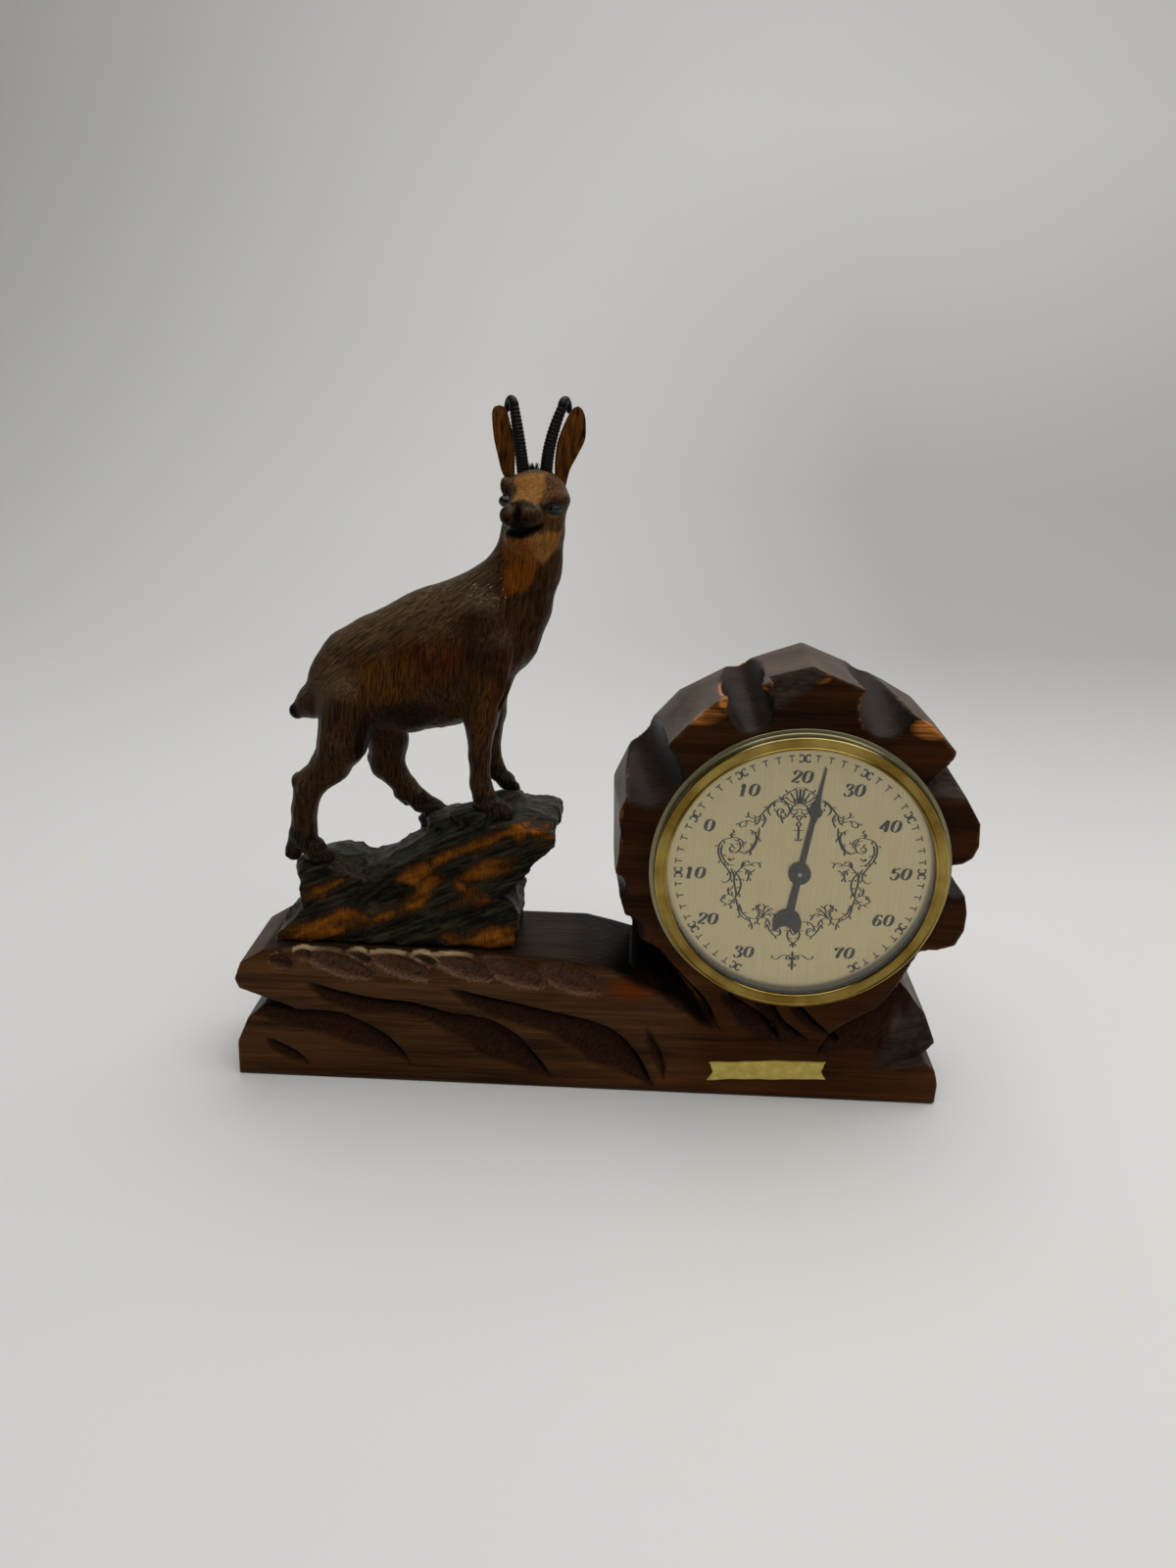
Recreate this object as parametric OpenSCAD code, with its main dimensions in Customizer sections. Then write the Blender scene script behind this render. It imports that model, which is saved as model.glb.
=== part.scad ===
// Carved wooden desk thermometer: a gouged plank stand with a round dial housing,
// a chamois on a rock, and a round bimetal thermometer pressed into the housing.
// Millimetres. X runs right along the base, Y away from the viewer, Z up.
// The origin is the middle of the base's underside.

/* [Stand] */
// Thickness of the plank, front to back
board_t = 28; // [26:1:32]
// Height of the base's flat top
base_h = 37.5; // [36:0.5:39]
// Height of the dial's centre above the table
dial_z = 64; // [62:0.5:66]
// Distance of the dial's centre to the right of the middle
dial_x = 51.4; // [50:0.2:53]
// Depth of the blind bore that takes the thermometer
bore_depth = 18; // [16:0.5:22]
// Radius of the gouge that scoops the housing's rim
scoop_r = 20; // [17:0.5:24]

/* [Thermometer] */
// Outer diameter of the brass front band
band_od = 70; // [68:0.5:71]
// Inner diameter of the brass front band
band_id = 63.7; // [62:0.1:65]
// How far the band stands proud of the wood
band_proud = 3.7; // [3.4:0.1:4.5]
// Outer diameter of the cup behind the dial
cup_od = 66.4; // [65:0.1:67]
// Depth of the cup behind the wood's front face
cup_depth = 14.6; // [14:0.1:15.5]
// Number of turns in the bimetal coil
coil_turns = 5; // [3:1:6]

/* [Pointer] */
// Length of the hand from the spindle to its tip
hand_reach = 27.4; // [25:0.1:28.5]
// Reading that the hand points at, in degrees Celsius
reading = 23.5; // [-30:0.5:70]
// Thickness of the hand's sheet metal
hand_t = 0.3; // [0.2:0.05:0.4]

/* [Figure] */
// Half width of the chamois's legs, from the middle plane to a leg's centre
leg_spread = 5.5; // [5:0.1:6.5]
// Width of the body as a part of its height
body_flatness = 0.6; // [0.55:0.01:0.7]
// Depth of the rock's foot, front to back
rock_depth = 23; // [21:0.5:25]

/* [Hidden] */
round_fn = 96;
small_fn = 48;
ball_fn = 20;
cut = 0.5;

// The plank's outline in X and Z, anticlockwise from the lower left corner
base_left = [[-91, 0], [-90.6, 9.5], [-87.5, 16.5], [-83.5, 20], [-77, 21.2], [-83, 23.2],
             [-89, 25.4], [-90, 28], [-88.3, 32.6], [-82, base_h - 1]];
base_top = [[-76, base_h], [-1, base_h], [6, base_h - 1.6], [12, base_h - 3.2]];
housing_edge = [[11.2, 45.5], [8.4, 55], [6, 61], [5.6, 78], [9.4, 86.5], [13, 91.5], [21.6, 101.2],
                [33.5, 107.8], [42.5, 111.2], [51.3, 114.3], [62.4, 109.9], [71.8, 105.6],
                [79.5, 101.3], [86.2, 94.6], [84.4, 91.4], [88.6, 85], [93.1, 77.8], [93.6, 72],
                [92.4, 68.9], [89.3, 66.7], [89.4, 62.9], [91.8, 59.1], [92.9, 54.5], [92.8, 49.8],
                [91, 45.6], [86.5, 44], [82.5, 43.6], [80.8, 39.5], [79.4, 35.6]];
base_right = [[82.4, 31], [86.8, 24.4], [90.6, 15.2], [87.2, 12.2], [90.4, 9.4], [91.4, 5.6], [91.2, 0]];

// Scoops round the housing's front rim: angle, rim radius there, bite into the face, bite into the rim
rim_scoops = [[30, 47, 8, 7], [47, 46, 7, 9], [63, 47, 8.5, 9], [80, 50, 8, 6], [99, 49.5, 7, 7],
              [107, 48, 10, 11], [121, 46.5, 6, 10], [138, 46, 7, 12], [154, 46, 8, 9], [172, 45.5, 6, 12],
              [189, 45.5, 6.5, 8], [9, 43, 2.6, 4], [-14, 43, 2.6, 4]];

// Curved chip cuts on the front: centre x and z, radius, aim, reach, depth
chips = [[-68, -9, 28.5, 66, 10, 2.6], [-37, -10, 31.8, 66, 12, 2.8], [-12, -9, 32.9, 56, 11, 2.8],
         [-88, -9, 21.3, 58, 4.5, 1.6], [36.8, 13, 14, 37, 4.5, 2.2], [52.8, 12.7, 12, 53, 4, 2],
         [77.5, 15, 12, 135, 9, 2.6]];

// Ripple scoops along the base's front top edge: x, drop down the face
ripples = [[-77, 4.5], [-62, 7], [-45, 6.5], [-27, 7], [-8, 8.5]];
ripple_r = 22;
ripple_bite = 1.1;

// Sweep gouge between the housing and the base: foot of its low edge, and its other end
sweep_low = [35, 19.6];
sweep_high = [-3, 38.2];
sweep_slope = 38;
sweep_w = 13;
housing_foot_r = 39.5;

// Heights of the insert's pieces above the wood's face, towards the viewer
glass_front = band_proud - 0.6;
glass_back = glass_front - 1.2;
dial_front = 0.36;
dial_back = -0.04;
cup_rim_back = -0.6;
crimp_back = -0.95;
band_r = band_od / 2;
band_in_r = band_id / 2;
wall_in_r = band_r - 0.7;
flange_r = band_r + 1.2;
cup_r = cup_od / 2;
bore_r = cup_r + 0.2;
seat_r = wall_in_r + 0.5;
seat_depth = 1;
vent_r = 4;

// The movement behind the dial
arbor_r = 0.5;
running_gap = 0.04;
dial_hole_r = 1.7;
collet_r = 1.3;
coil_collet_r = 1.6;
coil_in_r = 1.75;
coil_out_r = 10.2;
strip_t = 0.5;
strip_w = 3.2;
coil_floor = -9.4;
coil_steps = 28;
post_r = 0.9;
bridge_span = 19;
bridge_w = 8;
bridge_t = 1;
bridge_top = -2;
foot_l = 6;
cup_floor_t = 0.6;
cup_floor_top = cup_floor_t - cup_depth;

// The hand's place and turn
hand_back = 1;
hub_r = 2.7;
dial_turn = 1.8;
degrees_per_unit = 3;
top_reading = 20;
hand_turn = (reading - top_reading) * degrees_per_unit - dial_turn;

// Chamois, as chains of balls: x, y, z, radius
spine = [[-59.3, 0, 104.8, 11.6], [-49, 0, 107.4, 15.2], [-37.5, 0, 111, 16.8], [-28, 0, 113.4, 14.8]];
chest = [[-29, 0, 114, 12], [-22.2, 0, 115.8, 8.6], [-18.8, 0, 124, 9.2]];
withers = [[-36, 0, 120.2, 8.2], [-23, 0, 126.4, 8.2], [-16, 0, 134.4, 7]];
neck = [[-15.4, 0, 133, 7.6], [-14.6, -0.5, 141, 7.2], [-13.6, 0, 148, 7.4]];
skull = [[-17, -2.4, 149.4, 5], [-10.4, -2, 149, 5.2]];
muzzle = [[-14, -3.5, 147.2, 6], [-16.8, -9, 145.2, 4.4]];
front_near = [[-26, -leg_spread + 1.5, 108, 6.4], [-26.6, -leg_spread, 98, 4.2],
              [-26.7, -leg_spread, 87, 2.7], [-26.6, -leg_spread, 80, 2.6],
              [-24.6, -leg_spread, 75.4, 3.6], [-24, -leg_spread, 72.6, 4.2]];
front_far = [[-24, leg_spread - 2, 106, 5.4], [-25.2, leg_spread, 96, 3.4], [-25.7, leg_spread, 86, 2.5],
             [-23.6, leg_spread, 79.4, 2.5], [-20.6, leg_spread, 75, 3.4]];
hind_near = [[-60, -leg_spread + 2, 101, 8.4], [-61, -leg_spread, 90, 5.9], [-64, -leg_spread, 84.3, 4.6],
             [-69.4, -leg_spread, 79.3, 3.9], [-71, -leg_spread, 72, 3.1], [-71.6, -leg_spread, 66, 3.3],
             [-72.6, -leg_spread, 60, 4]];
hind_far = [[-54, leg_spread - 2, 99, 7], [-51.8, leg_spread, 88, 5], [-52.3, leg_spread, 81.8, 4.3],
            [-47.4, leg_spread, 75, 3], [-42.4, leg_spread, 70.6, 3.2], [-38.4, leg_spread, 67.6, 3]];
tail = [[-67, 0, 103, 3.6], [-72.2, 0, 97.6, 2.3]];

// Rock, as slabs: outline in X and Z, then the front and back in Y
rock_foot = [[-79.5, base_h], [-80, base_h + 2.4], [-73, 45], [-24, 53], [-18.5, 50], [-17.6, 45.6],
             [-18.5, base_h]];
rock_slab = [[-79.6, base_h + 1.6], [-76.5, 43.8], [-71.8, 48.6], [-73.2, 52.4], [-72.4, 55.8], [-69.6, 58.6],
             [-64.4, 60.3], [-59.4, 59.9], [-55.6, 58], [-48.6, 61], [-42.4, 65], [-33.4, 67.6], [-30, 70.4],
             [-18, 73.8], [-9.5, 73], [-7.2, 71.4], [-7.8, 68], [-13.6, 62.3], [-19.6, 54.2], [-40, 47.4]];
rock_ledge = [[-76, 42], [-74.4, 50], [-70, 54.5], [-58, 55.5], [-44, 62], [-30, 68], [-18, 71.5], [-11, 70],
              [-20, 56], [-21, 42]];
rock_front_y = -11;
rock_mid_y = 6.5;
rock_back_y = rock_front_y + rock_depth;

// Horns and ears: foot on the skull, in X, Y and Z, and the sideways lean
horn_foot_left = [-16.6, -1, 153.2];
horn_foot_right = [-11.2, -1, 153.2];
horn_r = 1.45;
horn_taper = 0.55;
horn_rise = 15.6;
horn_spread = 3.6;
horn_back = 2.4;
horn_bow_share = 0.72;
hook_r = 2.1;
peg_l = 4;
peg_r = 0.8;
ear_l = 17.4;
ear_w = 5.6;
ear_t = 2.4;
ear_foot_left = [-18.6, 2.6, 151.8];
ear_foot_right = [-8.6, 2.6, 151.8];

// Screws under the rock
screw_places = [-58, -34];
screw_r = 1.9;
screw_play = 0.05;
screw_head_r = 3.7;
screw_head_z = 3;
screw_head_h = 2.6;
screw_tip_z = 54;
sink_z = 6;
sink_r = 4.2;

// Ribbon label on the base's front
ribbon_mid = [47.7, 8.3];
ribbon_l = 31.4;
ribbon_w = 6.2;
ribbon_t = 0.5;
ribbon_cut = 1.6;

// Turns X right, Y up and Z towards the viewer into the plank's front face
module on_front_face(x = 0, z = 0) {
    translate([x, -board_t / 2, z])
        rotate([90, 0, 0])
            children();
}

module on_dial() {
    on_front_face(dial_x, dial_z)
        children();
}

// A flat outline in X and Z carried along Y from front to back
module upright_slab(outline, front, back) {
    translate([0, back, 0])
        rotate([90, 0, 0])
            linear_extrude(back - front)
                polygon(outline);
}

// A round disc or ring between two heights
module ring(outer, inner, low, high, facets = round_fn) {
    translate([0, 0, low])
        difference() {
            cylinder(r = outer, h = high - low, $fn = facets);
            if (inner > 0)
                translate([0, 0, -cut])
                    cylinder(r = inner, h = high - low + 2 * cut, $fn = facets);
        }
}

// Centre of a ball of radius r whose bites into a square edge's two faces are a and b
function scoop_centre(a, b, r) =
    let (chord = norm([a, b]), lift = sqrt(r * r - chord * chord / 4))
    [b / chord * lift - a / 2, a / chord * lift - b / 2];

// A scoop on the housing's rim at an angle
module rim_scoop(angle, rim_r, face_bite, rim_bite) {
    centre = scoop_centre(face_bite, rim_bite, scoop_r);
    on_dial()
        rotate([0, 0, angle])
            translate([rim_r + centre[0], 0, centre[1]])
                sphere(r = scoop_r, $fn = small_fn);
}

// A chip cut: a disc laid into the face, deepest at its arc and level at its chord
module chip(x, z, r, aim, reach, depth) {
    on_front_face(x, z)
        rotate([0, 0, aim])
            translate([r - reach, 0, 0])
                rotate([0, asin(depth / reach), 0])
                    translate([reach - r, 0, 0])
                        cylinder(r = r, h = 12, $fn = round_fn);
}

// A ripple: a scoop that takes the base's front top edge away
module ripple(x, drop) {
    centre = scoop_centre(drop, ripple_bite, ripple_r);
    on_front_face(x, base_h)
        translate([0, centre[0], centre[1]])
            sphere(r = ripple_r, $fn = small_fn);
}

// The slope between the housing's foot and the base's front edge
module sweep_gouge() {
    run = sweep_high - sweep_low;
    length = norm(run);
    tilt = atan2(run[1], run[0]);
    difference() {
        on_front_face(sweep_low[0], sweep_low[1])
            rotate([0, 0, tilt])
                rotate([90, 0, 90])
                    linear_extrude(length)
                        polygon([[0, 0], [0, 4], [-sweep_w, 4], [-sweep_w, -sweep_w * tan(sweep_slope)]]);
        on_dial()
            translate([0, 0, -board_t - cut])
                cylinder(r = housing_foot_r, h = board_t + 10, $fn = round_fn);
    }
}

module carved_stand() {
    color("#4a2416")
        difference() {
            upright_slab(concat(base_left, base_top, housing_edge, base_right), -board_t / 2, board_t / 2);
            on_dial() {
                ring(bore_r, 0, -bore_depth, cut);
                ring(seat_r, 0, -seat_depth, cut);
                ring(vent_r, 0, -board_t - cut, -bore_depth + cut, small_fn);
            }
            sweep_gouge();
            for (s = rim_scoops)
                rim_scoop(s[0], s[1], s[2], s[3]);
            for (c = chips)
                chip(c[0], c[1], c[2], c[3], c[4], c[5]);
            for (r = ripples)
                ripple(r[0], r[1]);
            for (x = screw_places)
                translate([x, 0, 0]) {
                    translate([0, 0, -cut])
                        cylinder(r = sink_r, h = sink_z + cut, $fn = small_fn);
                    cylinder(r = screw_r + 2 * screw_play, h = base_h + cut, $fn = small_fn);
                }
        }
}

// A limb: each ball joined to the next
module limb(balls, flatness = 1) {
    for (i = [0 : len(balls) - 2])
        hull() {
            ball(balls[i], flatness);
            ball(balls[i + 1], flatness);
        }
}

module ball(b, flatness) {
    translate([b[0], b[1], b[2]])
        scale([1, flatness, 1])
            sphere(r = b[3], $fn = ball_fn);
}

module peg_hole(foot) {
    translate(foot - [0, 0, peg_l])
        cylinder(r = peg_r, h = peg_l + 6, $fn = 16);
}

module chamois_carving() {
    color("#5b2e17")
        difference() {
            union() {
                limb(spine, body_flatness);
                limb(chest, 0.75);
                limb(withers, 0.75);
                limb(neck, 0.9);
                limb(skull);
                limb(muzzle);
                limb(front_near);
                limb(front_far);
                limb(hind_near);
                limb(hind_far);
                limb(tail);
                upright_slab(rock_foot, rock_front_y, rock_back_y);
                upright_slab(rock_slab, rock_front_y + 0.6, rock_mid_y);
                upright_slab(rock_ledge, rock_mid_y - 1, rock_back_y - 1.5);
            }
            for (x = screw_places)
                translate([x, 0, base_h - cut])
                    cylinder(r = screw_r + screw_play, h = screw_tip_z - base_h + cut, $fn = 32);
            for (foot = [horn_foot_left, horn_foot_right, ear_foot_left, ear_foot_right])
                peg_hole(foot);
        }
}

// Centre of the horn at a share t of its length: a rising bow, then the hook
function horn_point(t, lean) =
    let (rise = min(t / horn_bow_share, 1), turn = max(t - horn_bow_share, 0) / (1 - horn_bow_share) * 170)
    [lean * (rise * rise * horn_spread + (1 - cos(turn)) * 0.3),
     rise * rise * horn_back + hook_r * (1 - cos(turn)),
     rise * horn_rise + hook_r * sin(turn)];

module horn(foot, lean) {
    steps = 12;
    color("#17181a")
        translate(foot) {
            translate([0, 0, -peg_l])
                cylinder(r = peg_r, h = peg_l + 1, $fn = 16);
            for (i = [0 : steps - 1])
                hull() {
                    translate(horn_point(i / steps, lean))
                        sphere(r = horn_r * (1 - horn_taper * i / steps), $fn = 14);
                    translate(horn_point((i + 1) / steps, lean))
                        sphere(r = horn_r * (1 - horn_taper * (i + 1) / steps), $fn = 14);
                }
        }
}

// Half width of an ear at a share t of its length
function ear_half(t) = ear_w / 2 * sin(12 + 150 * pow(t, 0.9));

module ear(foot, lean) {
    steps = 8;
    color("#7a4420")
        translate(foot)
            rotate([-4, lean, 0]) {
                translate([0, 0, -peg_l])
                    cylinder(r = peg_r, h = peg_l + 1.5, $fn = 16);
                for (i = [0 : steps - 1])
                    hull()
                        for (t = [i / steps, (i + 1) / steps])
                            translate([0, 0, t * ear_l])
                                scale([ear_half(t), ear_t / 2, 0.5])
                                    sphere(r = 1, $fn = 14);
            }
}

module horn_left() {
    horn(horn_foot_left, -1);
}

module horn_right() {
    horn(horn_foot_right, 1);
}

module ear_left() {
    ear(ear_foot_left, -14);
}

module ear_right() {
    ear(ear_foot_right, 15);
}

module ribbon_label() {
    l = ribbon_l / 2;
    w = ribbon_w / 2;
    short = l - 0.5;
    slit = l - ribbon_cut;
    color("#c9b75c")
        on_front_face(ribbon_mid[0], ribbon_mid[1])
            linear_extrude(ribbon_t)
                polygon([[-l, -w], [l, -w], [slit, 0], [short, w], [-short, w], [-slit, 0]]);
}

module figure_screws() {
    color("#8a8378")
        for (x = screw_places)
            translate([x, 0, 0]) {
                translate([0, 0, screw_head_z])
                    cylinder(r1 = screw_head_r, r2 = screw_r, h = screw_head_h, $fn = small_fn);
                translate([0, 0, screw_head_z + screw_head_h])
                    cylinder(r = screw_r, h = screw_tip_z - screw_head_z - screw_head_h - 1, $fn = small_fn);
            }
}

// Brass ring: flat front band, outer wall, flange on the wood, and the crimp behind the cup's rim
module bezel() {
    color("#b8973f")
        on_dial()
            rotate_extrude($fn = round_fn)
                polygon([[band_in_r, band_proud], [band_r, band_proud], [band_r, 0.5], [flange_r, 0.5],
                         [flange_r, 0], [wall_in_r + 0.4, 0], [wall_in_r + 0.4, crimp_back],
                         [wall_in_r - 0.6, crimp_back], [wall_in_r - 0.6, cup_rim_back],
                         [wall_in_r, cup_rim_back], [wall_in_r, glass_front], [band_in_r, glass_front]]);
}

module crystal() {
    color("#dfe8e6", 0.35)
        on_dial()
            ring(wall_in_r - 0.05, 0, glass_back, glass_front);
}

module dial_spacer() {
    color("#4b4b42")
        on_dial()
            ring(wall_in_r - 0.05, band_in_r + 0.1, dial_front, glass_back);
}

module dial_plate() {
    color("#cdbb92")
        on_dial()
            ring(wall_in_r - 0.1, dial_hole_r, dial_back, dial_front);
}

module insert_cup() {
    vent_ring_r = 22;
    color("#9c9a92")
        on_dial()
            difference() {
                union() {
                    ring(wall_in_r - 0.1, cup_r - 0.6, cup_rim_back, dial_back);
                    ring(cup_r, 0, -cup_depth, cup_rim_back);
                }
                ring(cup_r - 0.6, 0, cup_floor_top, 0);
                ring(2.4, 0, -cup_depth - cut, 0, small_fn);
                for (i = [0 : 5])
                    rotate([0, 0, 30 + 60 * i])
                        translate([vent_ring_r, 0, 0])
                            ring(2.5, 0, -cup_depth - cut, cup_floor_top + cut, small_fn);
                for (side = [-1, 1])
                    translate([side * (bridge_span + foot_l / 2), 0, 0])
                        ring(1, 0, -cup_depth - cut, cup_floor_top + cut, small_fn);
                translate([0, coil_out_r, 0])
                    ring(post_r, 0, -cup_depth - cut, cup_floor_top + cut, small_fn);
            }
}

// Strap over the coil, with two legs and two feet on the cup's floor
module pivot_bridge() {
    color("#a98c46")
        on_dial()
            difference() {
                union() {
                    translate([-bridge_span - bridge_t, -bridge_w / 2, bridge_top - bridge_t])
                        cube([2 * (bridge_span + bridge_t), bridge_w, bridge_t]);
                    for (turn = [0, 180])
                        rotate([0, 0, turn])
                            translate([bridge_span, -bridge_w / 2, cup_floor_top]) {
                                cube([bridge_t, bridge_w, bridge_top - cup_floor_top]);
                                cube([foot_l, bridge_w, bridge_t]);
                            }
                }
                ring(1.8, 0, bridge_top - bridge_t - cut, bridge_top + cut, small_fn);
                for (side = [-1, 1])
                    translate([side * (bridge_span + foot_l / 2), 0, 0])
                        ring(1, 0, cup_floor_top - cut, cup_floor_top + bridge_t + cut, small_fn);
            }
}

module bridge_rivets() {
    color("#b7b2a6")
        on_dial()
            for (side = [-1, 1])
                translate([side * (bridge_span + foot_l / 2), 0, 0]) {
                    ring(1, 0, -cup_depth, cup_floor_top + bridge_t, small_fn);
                    ring(1.8, 0, cup_floor_top + bridge_t, cup_floor_top + bridge_t + 0.7, small_fn);
                    ring(1.8, 0, -cup_depth - 0.6, -cup_depth, small_fn);
                }
}

module front_bushing() {
    color("#b08d3c")
        on_dial()
            difference() {
                union() {
                    ring(1.8, 0, bridge_top - bridge_t, bridge_top, small_fn);
                    ring(2.6, 0, bridge_top, bridge_top + 0.7, small_fn);
                }
                ring(arbor_r + running_gap, 0, bridge_top - bridge_t - cut, 0, small_fn);
            }
}

module rear_bushing() {
    color("#b08d3c")
        on_dial()
            difference() {
                union() {
                    ring(2.4, 0, -cup_depth, cup_floor_top, small_fn);
                    ring(3.4, 0, cup_floor_top, cup_floor_top + 1.4, small_fn);
                }
                ring(arbor_r + running_gap, 0, -cup_depth - cut, 0, small_fn);
            }
}

module coil_post() {
    color("#b08d3c")
        on_dial()
            translate([0, coil_out_r, 0])
                ring(post_r, 0, -cup_depth, coil_floor + strip_w + 0.4, small_fn);
}

// Radius of the coil's middle line after a turn in degrees
function coil_radius(turn) =
    coil_in_r + strip_t / 2 + (coil_out_r - post_r - coil_in_r - strip_t) * turn / (360 * coil_turns);

function coil_edge(side) =
    [for (i = [0 : coil_steps * coil_turns])
        let (turn = 360 * i / coil_steps, r = coil_radius(turn) + side * strip_t / 2)
        [r * cos(turn + 90), r * sin(turn + 90)]];

function backwards(list) = [for (i = [len(list) - 1 : -1 : 0]) list[i]];

module bimetal_coil() {
    color("#8f7f6a")
        on_dial()
            translate([0, 0, coil_floor])
                linear_extrude(strip_w)
                    polygon(concat(coil_edge(-1), backwards(coil_edge(1))));
}

module coil_collet() {
    color("#b08d3c")
        on_dial()
            ring(coil_collet_r, arbor_r, coil_floor - 0.4, coil_floor + strip_w + 0.4, small_fn);
}

module pointer_arbor() {
    color("#b9b6ad")
        on_dial()
            ring(arbor_r, 0, -cup_depth, hand_back + hand_t + 0.25, small_fn);
}

module pointer_collet() {
    color("#5a3a3e")
        on_dial()
            ring(collet_r, arbor_r, -0.3, hand_back, small_fn);
}

// The hand: needle with a leaf half way, round hub, tapered tail and crescent weight
module pointer() {
    needle = [[-0.72, 0], [-0.6, 14.2], [-1.25, 15.6], [-1, 17.4], [-0.45, 19.6], [-0.42, 21],
              [-0.2, hand_reach]];
    mirrored = [for (i = [len(needle) - 1 : -1 : 0]) [-needle[i][0], needle[i][1]]];
    tail_end = 11.5;
    moon_mid = 13.4;
    color("#3a2024")
        on_dial()
            translate([0, 0, hand_back])
                rotate([0, 0, -hand_turn])
                    difference() {
                        union() {
                            cylinder(r = hub_r, h = hand_t, $fn = small_fn);
                            linear_extrude(hand_t)
                                polygon(concat(needle, mirrored));
                            linear_extrude(hand_t)
                                polygon([[-0.7, 0], [-0.95, -tail_end], [0.95, -tail_end], [0.7, 0]]);
                            translate([0, -moon_mid, 0])
                                cylinder(r = 3.5, h = hand_t, $fn = small_fn);
                        }
                        translate([0, -moon_mid - 3, -cut])
                            cylinder(r = 2.3, h = hand_t + 2 * cut, $fn = small_fn);
                        translate([0, 0, -cut])
                            cylinder(r = arbor_r, h = hand_t + 2 * cut, $fn = small_fn);
                    }
}

carved_stand();
chamois_carving();
horn_left();
horn_right();
ear_left();
ear_right();
ribbon_label();
figure_screws();
bezel();
crystal();
dial_spacer();
dial_plate();
insert_cup();
pivot_bridge();
bridge_rivets();
front_bushing();
rear_bushing();
coil_post();
bimetal_coil();
coil_collet();
pointer_arbor();
pointer_collet();
pointer();
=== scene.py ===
"""Looks of a carved wooden thermometer: a stained plank stand, a chamois on a rock and a brass dial."""

import bpy
import numpy as np
import openvdb
from mathutils import Matrix, Vector


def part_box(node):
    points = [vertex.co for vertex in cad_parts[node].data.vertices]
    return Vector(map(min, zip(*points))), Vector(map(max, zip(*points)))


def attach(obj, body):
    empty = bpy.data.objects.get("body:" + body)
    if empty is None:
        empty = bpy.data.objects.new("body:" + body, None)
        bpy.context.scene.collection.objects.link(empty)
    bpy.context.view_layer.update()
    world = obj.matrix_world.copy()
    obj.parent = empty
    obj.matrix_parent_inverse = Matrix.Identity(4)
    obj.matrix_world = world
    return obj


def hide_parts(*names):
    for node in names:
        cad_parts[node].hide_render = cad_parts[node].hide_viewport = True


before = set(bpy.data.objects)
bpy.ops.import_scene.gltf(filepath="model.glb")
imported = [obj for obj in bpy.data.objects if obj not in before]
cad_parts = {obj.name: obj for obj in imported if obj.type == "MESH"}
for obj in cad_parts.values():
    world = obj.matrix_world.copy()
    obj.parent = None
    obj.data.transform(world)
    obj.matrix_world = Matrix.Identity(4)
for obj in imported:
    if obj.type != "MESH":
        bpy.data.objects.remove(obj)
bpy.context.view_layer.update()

# Camera
# A phone's wide lens held close, a little above the top of the object, looking down on its front.
# Lengths in the whole file are millimetres until a mesh is made; angles are degrees.
MM = 0.001
CAMERA_PLACE = (11.7, -276.9, 178.9)
LOOK_DOWN = 19.7
LOOK_LEFT = 2.54
CAMERA_LEAN = 1.11
FOCAL_PIXELS = 1202
PICTURE_HEIGHT = 1600
SENSOR_MM = 36.0


def turned_axes(down, left, lean):
    """Right, up and backward directions of a camera turned left, tipped down and leant, as the
    columns of a matrix."""
    down, left, lean = np.radians([down, left, lean])
    forward = np.array([-np.sin(left) * np.cos(down), np.cos(left) * np.cos(down), -np.sin(down)])
    level = np.array([np.cos(left), np.sin(left), 0.0])
    upright = np.cross(level, forward)
    right = level * np.cos(lean) + upright * np.sin(lean)
    up = upright * np.cos(lean) - level * np.sin(lean)
    return np.stack([right, up, -forward], axis=1)


lens = bpy.data.cameras.new("camera")
lens.sensor_width = SENSOR_MM
lens.lens = SENSOR_MM * FOCAL_PIXELS / PICTURE_HEIGHT
lens.clip_start = 0.01
camera = bpy.data.objects.new("camera", lens)
bpy.context.scene.collection.objects.link(camera)
camera_turn = Matrix(turned_axes(LOOK_DOWN, LOOK_LEFT, CAMERA_LEAN).tolist()).to_4x4()
camera.matrix_world = Matrix.Translation(Vector(CAMERA_PLACE) * MM) @ camera_turn
bpy.context.scene.camera = camera
bpy.context.scene.view_settings.view_transform = "Standard"

# Studio
# A pale floor that curves up into a backdrop, a wide soft lamp overhead and a small weak one
# aimed at the backdrop.
FLOOR_HALF_WIDTH = 1500
FLOOR_FRONT = -1300
SWEEP_START = 420
SWEEP_RADIUS = 620
BACKDROP_TOP = 1900
FLOOR_PAINT = "#d6d5d1"
SURROUND = 0.12
LAMPS = {
    "overhead": ((180, 0, 950), (60, 20, 0), 1400, 1300, 13.4),
    "backdrop": ((600, 200, 1150), (420, 1040, 900), 500, 150, 1.0),
}


def colour(code):
    """An sRGB hex value as linear red, green, blue and alpha."""
    c = np.array([int(code[i : i + 2], 16) for i in (1, 3, 5)]) / 255
    c = np.where(c <= 0.04045, c / 12.92, ((c + 0.055) / 1.055) ** 2.4)
    return (*c.tolist(), 1.0)


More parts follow.
